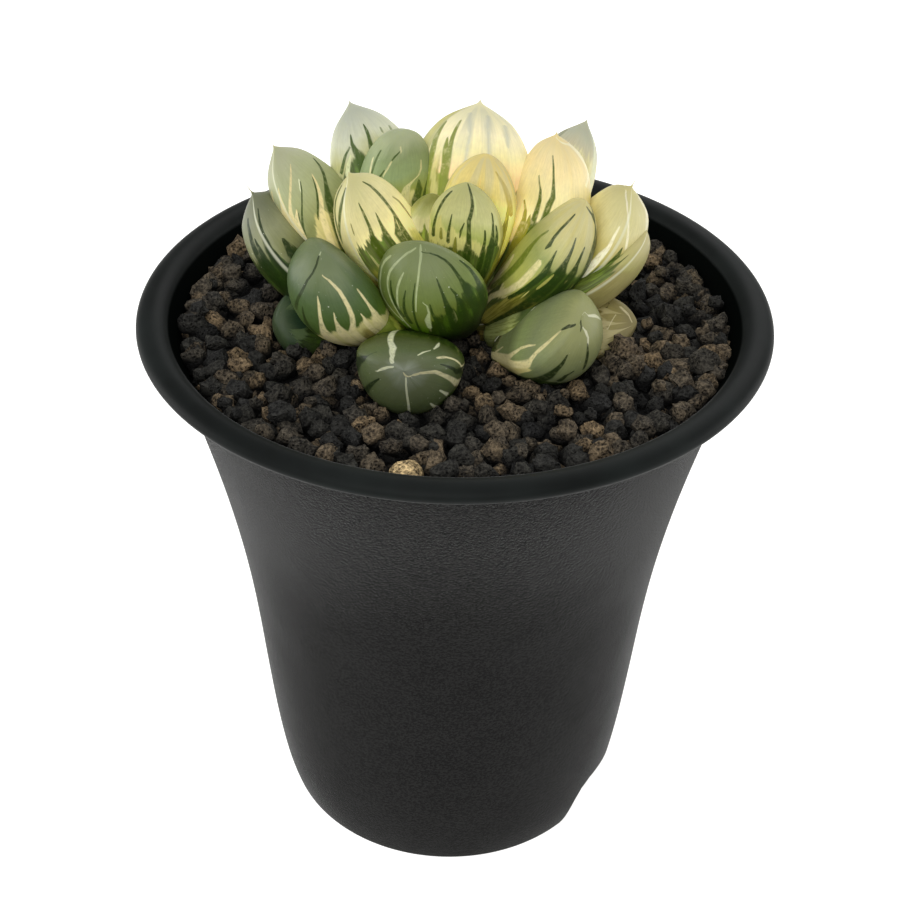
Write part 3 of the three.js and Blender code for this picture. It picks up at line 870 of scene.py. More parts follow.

# %% [markdown]
# The leaves at the back are nearly cream. Those at the sides get painted shade towards the grit, and
# the oldest two lie flat on it.

# %% Skins of the back and the sides
SKINS.update({
    "leaf_back_right": Skin(
        ground=shades("#fbebbf", "#ded398", "#eadca4", "#edd99f", "#ead79d"),
        cream="#f2e0ae", cream_line=flat(0.3),
        green="#435a1a", green_line=[
            (0, 0.1), (0.2, 0.1), (0.24, 0.35), (0.3, 0.45), (0.34, 0.55), (0.37, 0.62), (0.4, 0.5),
            (0.45, 0.3), (1, 0.1)],
        foot="#c9bb7c", foot_line=[
            (0, 0.1), (0.27, 0.1), (0.285, 0.4), (0.34, 0.5), (0.37, 0.5), (0.42, 0.3), (1, 0.1)],
        start=0.15, slits=0.6, veil=0.08),
    "leaf_back_large": Skin(
        ground=shades("#f8d198", "#edd09f", "#eae2ab", "#f5ebc0", "#e7e1b8"),
        cream="#bdb97f", cream_line=[
            (0, 1), (0.06, 1), (0.09, 0.95), (0.105, 0.88), (0.115, 0.5), (0.9, 0.1), (1, 1)],
        green="#6b7c34", green_line=[(0, 0.5), (0.1, 0.6), (0.14, 0.62), (0.17, 0.66), (0.2, 0.6), (1, 0.5)],
        foot="#c9c28a", foot_line=[(0, 0.5), (0.16, 0.72), (0.2, 0.5), (1, 0.5)],
        slits=0.8, veil=0.28),
    "leaf_back_left": Skin(
        ground=shades("#8e9268", "#9c9d73", "#b4b37c", "#caccb3", "#bdc1ae"),
        cream="#d6d2ac", cream_line=flat(0.5),
        green="#3c5424", green_line=[
            (0, 0.66), (0.1, 0.7), (0.12, 0.72), (0.145, 0.74), (0.235, 0.77), (0.25, 0.78), (0.27, 0.76),
            (0.3, 0.7), (1, 0.66)],
        foot="#4b5f30", foot_line=flat(0.6)),
    "leaf_left_upper": Skin(
        ground=shades("#898e5b", "#7e824f", "#9fa475", "#a8ad84", "#b2b492"),
        cream="#dccf9c", cream_line=[
            (0, 0.775), (0.088, 0.65), (0.11, 0.58), (0.18, 0.6), (0.21, 0.66), (0.24, 0.64), (0.27, 0.66),
            (0.3, 0.62), (0.36, 0.6), (0.88, 0.85), (1, 0.775)],
        green="#4b6024", green_line=flat(0.4),
        foot="#c2b682", foot_line=flat(0.5),
        start=0.95, slant=0.5),
    "leaf_left_low": Skin(
        ground=shades("#3b452d", "#2f3a25", "#797c51", "#8c8f6d", "#777b60"),
        cream="#b0ab7d", cream_line=flat(0.5),
        green="#24380f", green_line=[
            (0, 0.8), (0.04, 0.67), (0.07, 0.62), (0.09, 0.66), (0.1, 0.7), (0.13, 0.72), (0.16, 0.5),
            (0.83, 0.7), (0.85, 0.79), (1, 0.8)],
        foot="#142207", foot_line=[(0, 0.6), (0.15, 0.6), (0.2, 0.3), (0.5, 0.4), (0.85, 0.6), (1, 0.6)],
        start=0.85),
    "leaf_right_outer": Skin(
        ground=shades("#a59f53", "#9f9640", "#c4b772", "#d6ce97", "#d0c88f"),
        cream="#e6e0b0", cream_line=flat(0.2),
        green="#445a1e", green_line=[
            (0, 0.2), (0.42, 0.4), (0.46, 0.56), (0.475, 0.6), (0.526, 0.72), (0.545, 0.6), (0.56, 0.4),
            (1, 0.2)],
        foot="#a19d51", foot_line=flat(0.4),
        start=0.2),
    # leaf_right_under: its cream and the foot of its ground are darkened as painted shade.
    "leaf_right_under": Skin(
        ground=shades("#766b3d", "#655735", "#675b39", "#aca768", "#c2b982"),
        cream="#a89f70", cream_line=[(0, 0.5), (0.5, 0.8), (0.6, 0.9), (0.7, 0.6), (1, 0.5)],
        green="#4c5d2a", green_line=[
            (0, 0.3), (0.34, 0.5), (0.355, 0.84), (0.37, 0.8), (0.39, 0.88), (0.41, 0.8), (0.43, 0.87),
            (0.45, 0.78), (0.475, 0.8), (0.49, 0.5), (0.56, 0.4), (1, 0.3)],
        foot="#9c9a5a", foot_line=flat(0.5),
        start=0.3),
    "leaf_back_right_outer": Skin(
        ground=shades("#b0ac84", "#bcb48e", "#c4bb96", "#c9c2a5", "#b8baa3"),
        cream="#e6e2c4", cream_line=[(0, 0.8), (0.3, 0.9), (0.5, 0.86), (1, 0.8)],
        green="#8d9c74", green_line=[
            (0, 0.6), (0.2, 0.8), (0.22, 0.6), (0.4, 0.62), (0.42, 0.84), (0.45, 0.6), (1, 0.6)],
        foot="#8a9a6a", foot_line=flat(0),
        start=0.1),
    "leaf_right_old": Skin(
        ground=shades("#827749", "#887e4f", "#8e8353", "#9a905a", "#8b8157"),
        cream="#c4b994", cream_line=[
            (0, 0.7), (0.18, 0.8), (0.2, 0.93), (0.215, 0.8), (0.25, 0.8), (0.27, 0.95), (0.29, 0.82),
            (0.33, 0.97), (0.36, 0.85), (1, 0.7)],
        green="#7d6f4a", green_line=[(0, 0.7), (0.2, 0.78), (0.3, 0.8), (1, 0.7)],
        foot="#6b5c38", foot_line=flat(0)),
    "leaf_left_old": Skin(
        ground=shades("#080f05", "#050b03", "#0e2615", "#253924", "#435336"),
        cream="#5c6e4d", cream_line=[
            (0, 0.8), (0.1, 0.86), (0.2, 0.92), (0.22, 0.8), (0.35, 0.95), (0.4, 0.8), (1, 0.8)],
        green="#24340f", green_line=[(0, 0.8), (0.1, 0.82), (0.15, 0.86), (0.2, 0.8), (1, 0.8)],
        foot="#0b1906", foot_line=flat(0.6)),
})
print(len(SKINS), "skins so far")

# %% [markdown]
# On the leaves in full view, the tops of one of the masses are traced in the picture. They join the
# skyline where it can be seen.

# %% Traced tops of the masses
TOPS = {
    "leaf_front_centre": ("green_line", [
        (430, 330), (434, 322), (438, 317), (444, 315), (447, 307), (452, 309), (456, 311), (459, 301),
        (463, 292), (466, 285), (470, 283)]),
    "leaf_front_left": ("cream_line", [
        (318, 335.5), (324, 333.5), (330, 334.5), (336, 331), (343, 330), (350, 332), (357, 326), (361, 322),
        (366, 320), (371, 318), (376, 315), (382, 315), (386, 314)]),
    "leaf_right": ("green_line", [
        (552, 272), (556, 270), (560, 268), (566, 271), (571, 273), (576, 275), (582, 275), (586, 268)]),
    "leaf_left_centre": ("green_line", [
        (357, 251), (360, 248), (366, 246), (371, 238), (376, 237), (380, 236)]),
    "leaf_heart": ("green_line", [
        (463, 250), (470, 252), (476, 254), (480, 256), (485, 250), (490, 243), (496, 245), (499, 245)]),
    "leaf_left_upper": ("cream_line", [(275, 207), (283, 210), (290, 213), (296, 216), (300, 217)]),
    "leaf_left_low": ("green_line", [
        (252, 258), (257, 266), (259, 262), (262, 258), (267, 258), (268, 249), (270, 246), (276, 251)]),
    "leaf_back_left": ("green_line", [(354, 157), (356, 154), (360, 155), (366, 156)]),
    "leaf_right_outer": ("green_line", [(597, 268), (604, 267), (610, 262)]),
}
for name, (line, places) in TOPS.items():
    seen = [charts[name].find(x, y) for x, y in places]
    skyline = getattr(SKINS[name], line) + [(around % 1.0, along) for around, along, spread in seen]
    SKINS[name] = SKINS[name]._replace(**{line: sorted(skyline)})
print(sum(len(places) for line, places in TOPS.values()), "tops are traced")

# %% [markdown]
# Thin lines wander over the masses: single pen strokes in cream, white or dark green. Each is traced in
# the picture from its tip end to its foot end, with half its width in pixels as the third number.

# %% Pen strokes of the leaves in sight
INKS = {
    "leaf_front_centre": {"white": "#a6b082", "dark": "#24370a"},
    "leaf_front_left": {"cream": "#cfc594", "white": "#a9b18c", "dark": "#26330f"},
    "leaf_front_low": {"cream": "#c3bd94", "white": "#c6c9a8", "dark": "#18240b"},
    "leaf_front_right": {"cream": "#c9bf8c", "white": "#dcdcbc", "dark": "#1a2808"},
    "leaf_right": {"dark": "#22370a", "olive": "#5d6b1c", "cream": "#cfc68f", "light": "#a3a152"},
    "leaf_left_centre": {"dark": "#44540c", "olive": "#8d8649"},
    "leaf_heart": {"dark": "#2b3f08", "olive": "#7a7a2a", "cream": "#c9cc8c"},
    "leaf_back_large": {"olive": "#7b8630", "veil": "#cbcab2"},
    "leaf_back_right": {"dark": "#475a0c", "olive": "#8f8a2c", "cream": "#f4ecc4"},
    "leaf_back_left": {"dark": "#3b5210", "olive": "#8b9270", "white": "#cfd3a4"},
    "leaf_back_centre": {"dark": "#43571e", "white": "#d3cf9c"},
    "leaf_left_upper": {"dark": "#34470f", "cream": "#ddcf9a", "white": "#dfe2bd"},
    "leaf_left_low": {"dark": "#1a2c08"},
    "leaf_right_outer": {"white": "#efe9c6", "dark": "#36500f"},
    "leaf_right_old": {"scar": "#3f3018", "white": "#d2c9a0"},
    "leaf_heart_back": {"olive": "#c0a94a"},
    "leaf_back_right_outer": {"olive": "#989c82", "cream": "#d9dbb8"},
}
STROKES = {
    "leaf_front_centre": [
        ("white", (420.5, 244, 0.6), (421, 255, 1.5), (419.5, 266, 1.1), (418, 280, 1.2), (416.5, 292, 0.9),
         (416, 302, 0.8), (416, 311, 0.5)),
        ("white", (390.6, 256, 1), (385, 260.6, 1.3), (382, 266, 1.4), (380.6, 274, 1.3), (380, 283, 0.9),
         (382, 294, 0.8), (389, 306, 0.9), (402, 320, 0.9)),
        ("white", (415.6, 248, 0.8), (407.5, 253, 1.2), (400.6, 258.8, 0.9), (395, 264.4, 1.3),
         (390, 271, 1.4), (387.5, 281, 1.2), (388.8, 292.5, 1), (396.9, 310, 0.9), (410, 327, 0.8)),
        ("white", (403.5, 273, 0.7), (400, 280, 1.2), (397.5, 288, 1.2), (397, 296, 1.1), (398, 306, 0.9),
         (402, 315, 0.6)),
        ("white", (423, 303, 0.6), (427, 306, 0.9), (429, 313, 1.2), (427.5, 320, 3.4), (430, 328, 2.4)),
        ("dark", (405.6, 291, 0.7), (404, 299, 1.3), (404, 307.5, 1.6), (406, 315, 2), (411, 323, 2.2)),
        ("dark", (415, 284, 0.4), (413.8, 292.5, 0.8), (413, 302.5, 1), (413.8, 312.5, 1.1),
         (417.5, 325, 1.2), (422, 333, 1.2)),
        ("dark", (390.8, 281, 0.7), (391.2, 290, 1.2), (393, 297.5, 1.8), (397, 307, 2.2), (403, 316, 2.4)),
        ("dark", (421.9, 251.9, 0.7), (430, 253, 0.9), (437.5, 255.6, 1.1), (445, 260, 1.3),
         (451, 265.6, 1.5), (457, 274, 2), (461, 280, 2.6), (466, 288, 5)),
        ("dark", (436.9, 279.4, 0.7), (439.4, 286, 1.3), (442.5, 293.8, 1.8), (446, 303, 3), (449, 311, 5)),
        ("dark", (451, 288.8, 0.9), (456, 294.4, 2), (459, 301, 3.6), (461, 310, 6)),
        ("dark", (430, 305, 0.8), (432.5, 313.8, 1.7), (436, 320, 2.7), (441, 328, 4.5)),
        ("dark", (460, 260.6, 0.7), (468.8, 267.5, 1.5), (475, 276, 2.6), (480, 286, 3.6), (483, 297, 5)),
    ],
    "leaf_front_left": [
        ("cream", (322.5, 275.6, 0.7), (328.8, 280, 1.4), (333.8, 285, 1.8), (339.4, 291, 2.1),
         (344, 298.5, 2.3), (348.5, 307, 2.6), (352, 315.6, 3), (353, 323, 3.4), (352, 331, 4.5)),
        ("cream", (317.6, 297, 0.6), (319, 305, 1.5), (319.8, 313.8, 1.8), (321, 321, 2.1), (323, 328.8, 3),
         (327, 335, 5)),
        ("cream", (334, 313.5, 0.6), (335.2, 320, 1.3), (338, 326, 2.6), (341, 331, 5)),
        ("cream", (357.5, 289.5, 0.7), (362.5, 296, 1.3), (367.5, 303, 1.4), (372.5, 310, 2.2),
         (376, 315, 4.2), (378, 320, 7)),
        ("cream", (361, 314, 0.6), (363.8, 317.5, 1.3), (365.5, 321.5, 3)),
        ("white", (321, 251.5, 1.1), (319.2, 256, 0.7)),
        ("dark", (319, 256, 0.8), (316.9, 263.8, 1.1), (313, 272.5, 1.2), (307.5, 280, 1.3),
         (302.5, 290, 1.6), (298, 298.8, 1.5), (296, 308, 1)),
        ("dark", (302.5, 307, 0.5), (304.4, 317.5, 1.1), (308.8, 328.8, 1.2), (315, 336, 0.8)),
    ],
    "leaf_front_low": [
        ("cream", (403.5, 371.5, 0.8), (406, 376, 1.2), (413, 374.8, 1.2), (420, 373, 1.3), (428, 372, 1.5),
         (435, 371.5, 2), (442.5, 374.8, 2.3), (450, 378.4, 2.8), (456, 383, 3.6)),
        ("cream", (437.5, 358, 1.6), (445, 357, 2), (452.5, 358.8, 2.2), (458.5, 362.2, 2.6),
         (461.5, 368, 2.8)),
        ("white", (406, 378, 0.9), (406, 385, 0.9), (406.9, 394, 1.1), (408.3, 403, 1.3), (409.2, 412, 1.6)),
        ("white", (393, 367, 1.2), (385, 368.2, 1.7), (377.5, 371.2, 0.7)),
        ("white", (392.5, 363, 1.6), (392.5, 356, 2.4), (393.2, 348, 4.2), (390.5, 342, 3.4)),
        ("white", (418, 355.2, 0.8), (424, 352, 1.2), (430, 350.5, 0.5)),
        ("white", (434, 349, 0.8), (437.8, 345.6, 2), (439, 343, 0.8)),
        ("white", (440, 390.4, 1), (447.5, 394.4, 2.2)),
        ("white", (430.5, 403.4, 0.9), (436.5, 407.4, 1.8)),
        ("dark", (379, 379, 1), (372, 384, 2.5), (367, 390, 4)),
        ("dark", (441, 364.5, 0.7), (449, 367, 2.2), (456, 371.5, 3.2)),
        ("dark", (376, 352, 1.5), (366, 358, 5), (358, 364, 8)),
    ],
    "leaf_front_right": [
        ("cream", (561, 330.6, 0.7), (555, 336, 1.4), (548.8, 341.9, 1.9), (543, 347, 2.4),
         (537.5, 351.5, 2.5), (532.5, 357.5, 3.2), (529, 363.5, 5)),
        ("cream", (535, 345, 0.6), (528.8, 345.6, 1.3), (521, 348, 1.7), (513.8, 353, 2.6),
         (507.5, 358, 4.2)),
        ("white", (534, 308, 0.8), (525, 311.5, 1.1), (518, 318, 1.1), (510, 324.5, 1.2), (500, 334.5, 0.8),
         (492, 341, 1.3)),
        ("cream", (502.5, 347, 0.7), (497.5, 350.6, 1.3), (493.8, 355, 3.4)),
        ("white", (582.5, 315, 0.6), (588, 315.6, 0.9), (595, 315.8, 2), (600, 319, 0.8)),
        ("white", (583, 327.5, 0.7), (585.6, 331, 1.4), (588, 337.5, 1), (588, 344, 0.7)),
        ("dark", (575.5, 324.6, 0.8), (568.8, 326.2, 1.7), (562.3, 329.2, 1)),
        ("dark", (582, 315.6, 0.7), (581, 320, 1.5), (581.5, 326.5, 1.1)),
        ("dark", (587.6, 344, 0.6), (587.6, 354, 1.4), (585.6, 363.8, 1.4), (583.5, 369, 0.7)),
        ("dark", (567.2, 355.4, 0.8), (562.5, 363.5, 2), (556, 370, 3), (548, 376.5, 4.5)),
        ("dark", (573.5, 371.3, 0.8), (566, 375.6, 1.6), (559, 381, 2)),
    ],
    "leaf_right": [
        ("dark", (586.9, 206.9, 0.8), (592.5, 215, 1.1), (595.6, 223.8, 1.1), (596, 232.5, 1.2),
         (594.4, 243.8, 1.6), (591.9, 253, 1.9), (588.8, 262.5, 2.3), (583.8, 273, 3.2), (578, 285, 4)),
        ("dark", (575, 214.4, 0.7), (568.8, 221, 1.3), (561, 229, 1.5), (554, 237.5, 1.8), (550, 244.5, 2.6),
         (546, 248, 1.2)),
        ("olive", (548, 231, 0.9), (541, 235.6, 1), (533.8, 243, 1.9), (527.5, 251, 3.2), (522, 259, 4.2),
         (513, 269.5, 5), (502, 280, 4.2), (491, 287.5, 2.2)),
        ("dark", (556.3, 251.5, 0.8), (552.5, 259, 1.6), (548, 267.5, 3.6), (542.5, 275, 4.8),
         (535, 281.5, 3.2), (526, 289, 2.4), (509, 298, 2.2)),
        ("dark", (575.8, 238.5, 0.7), (573, 247.5, 1.4), (569.4, 256, 2), (565, 264, 3.4), (561, 272.5, 6.5)),
        ("dark", (584.6, 247.8, 0.7), (581, 256, 1.4), (577, 265, 2), (573.5, 273, 4)),
        ("cream", (513, 256, 1.4), (507.5, 264.5, 3), (500, 272.5, 4), (490, 281, 4)),
        ("cream", (540, 262, 3.5), (530, 274, 5), (520, 284, 4.2), (507, 291.5, 3), (491, 296.5, 3)),
        ("light", (553, 275.4, 0.9), (545, 282.5, 1.8), (537.5, 288.5, 1.2)),
    ],
    "leaf_left_centre": [
        ("dark", (346, 188, 0.7), (343, 197.5, 1.3), (340.6, 208.8, 1.7), (339.4, 220, 1.4), (339.4, 231, 1),
         (341, 242.5, 1.2)),
        ("dark", (363, 181.8, 0.6), (370, 185.6, 1.2), (377.5, 192.5, 1.6), (385, 201, 1.6),
         (392, 210.6, 1.5), (398, 220, 1.8), (402.5, 229, 3)),
        ("olive", (393, 196.9, 0.5), (398.8, 201, 0.8), (405, 208.8, 0.9), (411, 217.5, 0.5)),
        ("dark", (358.8, 203.5, 0.5), (362.5, 211, 1.2), (366, 218.8, 1.6), (369.4, 226.5, 1.8),
         (372, 235, 2.8), (374, 243, 5)),
        ("dark", (376, 213.5, 0.5), (378.8, 220, 1.5), (382, 226.5, 1.9), (385, 233, 3.5)),
        ("dark", (394.2, 217, 0.8), (396, 225, 2.2), (397, 231, 4.5)),
        ("olive", (351, 224.5, 0.5), (353.8, 233.5, 0.7)),
    ],
    "leaf_heart": [
        ("dark", (467.9, 182, 0.6), (469.4, 188, 1), (471.5, 196, 1.3), (472.5, 206, 1.8), (471, 214, 2.2),
         (468.9, 221, 2.5), (468.8, 231, 2.5), (468.8, 241, 3.2), (467.5, 250, 5)),
        ("dark", (451.9, 191, 0.7), (445.6, 197.5, 1.3), (440.6, 205.6, 1.5), (436.9, 213.8, 1.1),
         (434.4, 222.5, 1.5), (433, 235, 2.2)),
        ("dark", (451.9, 214.6, 0.6), (450, 223.8, 1.2), (448.5, 232.5, 1.8), (448, 242, 2.2)),
        ("dark", (464.2, 223.4, 0.6), (460.8, 231, 1.5), (459.8, 237, 0.8)),
        ("dark", (485, 231, 1), (485, 240, 1.4), (483, 250, 2.2), (481, 260, 3.5)),
        ("dark", (491.9, 213.5, 0.6), (493, 223.8, 1.1), (493, 232.5, 1.6), (492, 242.5, 3.2),
         (489.4, 255, 6)),
        ("dark", (496, 226, 0.7), (497, 235, 1.4), (495.6, 245, 2.4)),
        ("olive", (441, 228.5, 1.3), (441, 238, 2.2)),
        ("olive", (455.6, 238, 1), (455, 246, 2.6)),
        ("cream", (474, 196, 0.6), (475.5, 206, 1), (476, 216, 0.6)),
    ],
    "leaf_back_large": [
        ("olive", (460.8, 120.6, 0.8), (456, 128.8, 1.8), (452.5, 137.5, 2.4), (450, 148.8, 3),
         (448, 162.5, 3.2), (446, 175, 3.2)),
        ("olive", (446, 121.5, 0.8), (440, 130, 1.6), (435.6, 138.8, 2.6), (433, 148.8, 3.2),
         (430.5, 160, 3.4)),
        ("olive", (447.5, 138, 1), (446, 148, 3.5), (444.5, 164, 3.6)),
        ("veil", (470.5, 113, 3), (470, 124, 5.5), (470.5, 134, 3)),
        ("veil", (488, 116, 3), (488, 126, 5.5), (488.5, 137, 3)),
        ("veil", (505, 126, 3), (507, 136, 5), (508, 146, 2.5)),
    ],
    "leaf_back_right": [
        ("dark", (552.9, 156, 0.6), (553.5, 166, 1.1), (553.6, 177.5, 1.3), (553.6, 187.5, 2),
         (553, 197.5, 3.2), (549, 205, 3.6)),
        ("dark", (539, 176, 0.6), (539.4, 182.5, 0.9), (540.6, 190, 1.5), (539.8, 200, 2.2), (537, 210, 2.8),
         (534, 219, 3.4)),
        ("olive", (524.4, 201, 1.2), (525.6, 210, 1.9), (524, 220, 3), (520, 230, 4)),
        ("olive", (530, 216, 1), (528, 223, 3)),
        ("cream", (556, 137, 0.8), (570, 145, 1.3), (582, 156, 1.5), (587.3, 169, 1.4), (586.3, 185, 1.3)),
    ],
    "leaf_back_left": [
        ("dark", (350.6, 135.4, 0.8), (352, 143.8, 2), (355, 150, 3.6), (359.5, 156, 6)),
        ("dark", (363.6, 124.6, 0.7), (366.9, 131, 1.9), (369.4, 138.8, 2.2), (371, 146, 3)),
        ("dark", (349.5, 148, 1.6), (345.6, 155, 2), (343, 165, 2.2), (341.5, 172, 2.4)),
        ("olive", (380.4, 127.6, 0.8), (382, 131, 1.2)),
        ("olive", (389.4, 126, 0.8), (391, 129, 1.2)),
        ("white", (350.5, 156, 1), (348.5, 164, 2.6), (347.5, 173, 3)),
    ],
    "leaf_back_centre": [
        ("dark", (380.8, 150.6, 0.7), (376, 160, 1.1), (373, 168.8, 1.1), (371, 177, 1.1)),
        ("dark", (400, 151.5, 0.7), (395.6, 156, 1.6), (391.8, 160.8, 0.8)),
        ("dark", (384, 171, 0.9), (379, 178, 1.6)),
        ("dark", (418.8, 180.5, 1.2), (419, 190, 4.6), (416, 200, 5.8)),
        ("dark", (430.5, 168, 1), (427.5, 183, 2.2), (423, 203, 3.4)),
        ("white", (400.6, 147, 0.7), (401.2, 151.5, 1)),
        ("white", (391.4, 162, 1), (387.5, 168.8, 1.3), (383.5, 175.5, 0.8)),
        ("white", (421, 160.5, 0.7), (421, 168.8, 1.1), (418.8, 175, 1.2), (413.8, 180, 1.6), (407.5, 186, 4),
         (404, 196, 6)),
        ("white", (373.2, 158, 0.7), (370, 173, 1)),
    ],
    "leaf_left_upper": [
        ("dark", (312.5, 160.4, 0.6), (318.8, 165.6, 1.1), (325, 172.5, 1.6), (330, 181, 2.6),
         (334.4, 188, 4.4)),
        ("dark", (298.8, 184, 0.9), (302.5, 191, 1.1), (305.6, 201, 1.2), (308, 211, 1.8), (311, 221, 2.8),
         (315, 232.5, 4.4)),
        ("dark", (312.5, 177, 0.6), (320, 186.4, 1.1), (325, 195, 1.8), (328.8, 205.5, 1.6)),
        ("dark", (303, 210, 0.7), (308, 220, 1.4)),
        ("cream", (285.4, 170, 0.6), (286.9, 181, 1.5), (288.8, 192.5, 1.8), (290.6, 203.8, 2.2),
         (293, 213, 4.5)),
        ("cream", (276, 190.5, 0.7), (280, 201, 1.7), (284.6, 209, 3.4)),
        ("cream", (312, 175.6, 0.7), (318.3, 180.6, 1.1), (324.2, 187, 2), (329, 193.8, 3.2),
         (332, 201, 4.4)),
        ("white", (296.8, 182.6, 0.9), (300, 189.5, 0.7)),
        ("cream", (300, 208, 1.3), (301, 216, 4)),
    ],
    "leaf_left_low": [
        ("dark", (258, 209, 0.6), (259.4, 221, 1.4), (262.5, 232.5, 2.2), (266.9, 242.5, 3.8),
         (270, 250, 5.5)),
        ("dark", (248, 219, 0.7), (249.4, 231, 1.6), (252, 242.5, 2.2), (256, 252.5, 3.2)),
        ("dark", (255, 239.5, 0.7), (259.4, 248.8, 2.2), (263, 256, 3.4)),
        ("dark", (283, 239.5, 2), (287, 245.5, 4.2), (290, 253, 4.4)),
    ],
    "leaf_right_outer": [
        ("white", (626, 190.5, 1.3), (627, 202.5, 1.3), (628, 215, 1.1), (628.5, 227.5, 1), (627.5, 239, 1.4),
         (626, 248, 1.2)),
        ("white", (619.4, 227, 0.8), (614.4, 236, 1.5), (608.8, 247.5, 2.2), (601, 256, 4), (593, 265, 5)),
        ("dark", (622, 248.6, 0.7), (617.5, 256, 2.6), (611, 263.8, 4.2), (604, 271, 4.6), (594, 280, 4.6)),
        ("white", (640, 196, 0.8), (646.5, 207, 1.1), (648.5, 218, 1.3), (646.5, 231, 1.3), (642, 246, 1.8),
         (634, 257.5, 2.6), (621, 266, 3)),
        ("dark", (631.5, 246.4, 0.5), (625, 255, 0.9), (618.8, 261, 1.3)),
        ("dark", (618.8, 266, 0.9), (607.5, 275, 1.7), (596, 284, 2.4)),
    ],
    "leaf_right_old": [
        ("scar", (608.6, 303.2, 1), (608, 305.4, 1.8), (607.4, 307.6, 0.8)),
        ("white", (632, 322, 0.8), (628.8, 315, 1.1), (621, 307.5, 1.2)),
        ("white", (615.6, 315, 0.9), (611, 322.5, 1.3), (608, 328.8, 1)),
    ],
    "leaf_heart_back": [
        ("olive", (496, 172, 0.8), (505, 187.5, 2.8), (509.5, 202, 3.2), (511, 215, 2.4)),
    ],
    "leaf_back_right_outer": [
        ("olive", (567, 129.6, 0.8), (562, 133, 2), (558.5, 136, 1.4)),
        ("cream", (593.5, 140, 1.5), (595, 155, 2.6), (593.5, 172, 2.6)),
    ],
}

# %% [markdown]
# On the chart a stroke always runs from the tip to the foot of its leaf, so a place that would turn back
# is left out. A stroke that stays thin ends in a point.

# %% Strokes on the chart
BLUR = 0.25
WIDEST = 0.03
WIDEST_AT_TIP = 0.042
TIP_FROM = 0.96
THIN = 2.6
POINT = 0.015


def trace(chart, places):
    """A traced line as places round and along the leaf, with half the line's width."""
    line = []
    for x, y, pixels in places:
        around, along, spread = chart.find(x, y)
        half = min((pixels + BLUR) * spread, WIDEST_AT_TIP if along > TIP_FROM else WIDEST)
        if not line:
            line.append((around, along, half))
        elif along < line[-1][1]:
            line.append((nearest_turn(around, line[-1][0]), along, half))
    if places[-1][2] < THIN:
        line.append((line[-1][0], line[-1][1] - POINT, 0.0))
    shift = 1.0 if min(around for around, along, half in line) < 0 else 0.0
    return [(around + shift, along, half) for around, along, half in line]


LINES = {
    name: [(ink, trace(charts[name], places)) for ink, *places in strokes]
    for name, strokes in STROKES.items()
}
print(sum(len(lines) for lines in LINES.values()), "strokes are traced")

# %% [markdown]
# The leaves behind the rosette can't be seen in the photograph. Their skylines are drawn by a seeded
# rule, with a few tall flames among low ones, in the colours of the leaves beside them.

# %% Skylines of the leaves behind
def draw_skyline(seed, low, high, flames):
    draw = random.Random(seed)
    line = [(0.0, low)]
    for k in range(flames):
        middle = (k + 0.3 + 0.4 * draw.random()) / flames * 0.94 + 0.03
        half = 0.2 / flames
        top = low + (high - low) * draw.random() ** 0.6
        line += [(middle - half, low), (middle, top), (middle + half, low)]
    return line + [(1.0, low)]


for number, name in enumerate(n for n in LEAVES if n not in SKINS):
    SKINS[name] = Skin(
        ground=[(0, "#55612e"), (0.5, "#7c8a58"), (0.8, "#93a07a"), (1, "#b0b89a")],
        cream="#e6dcab", cream_line=draw_skyline(20 + number, 0.5, 0.95, 8),
        green="#2f4612", green_line=draw_skyline(40 + number, 0.55, 0.9, 9),
        foot="#44521f", foot_line=flat(0.4))
print("skins in all:", len(SKINS))

# %% [markdown]
# The finish of a leaf knows its place on the chart, and it keeps four noises that are stretched along
# the leaf: a slow one, fine lines, streaks and a fray. From them it makes the masks of the masses, whose
# tops fray, and of the pen strokes, whose width changes on the way.

# %% Masks on the chart
SPIKE = 1.6
HIGHEST_BASE = 0.95
WAVER = 0.02
STREAKED_EDGE = 0.13
FRAYED_EDGE = 0.04
FRAYED_STROKE = 0.003
SOFTEST = 0.0008


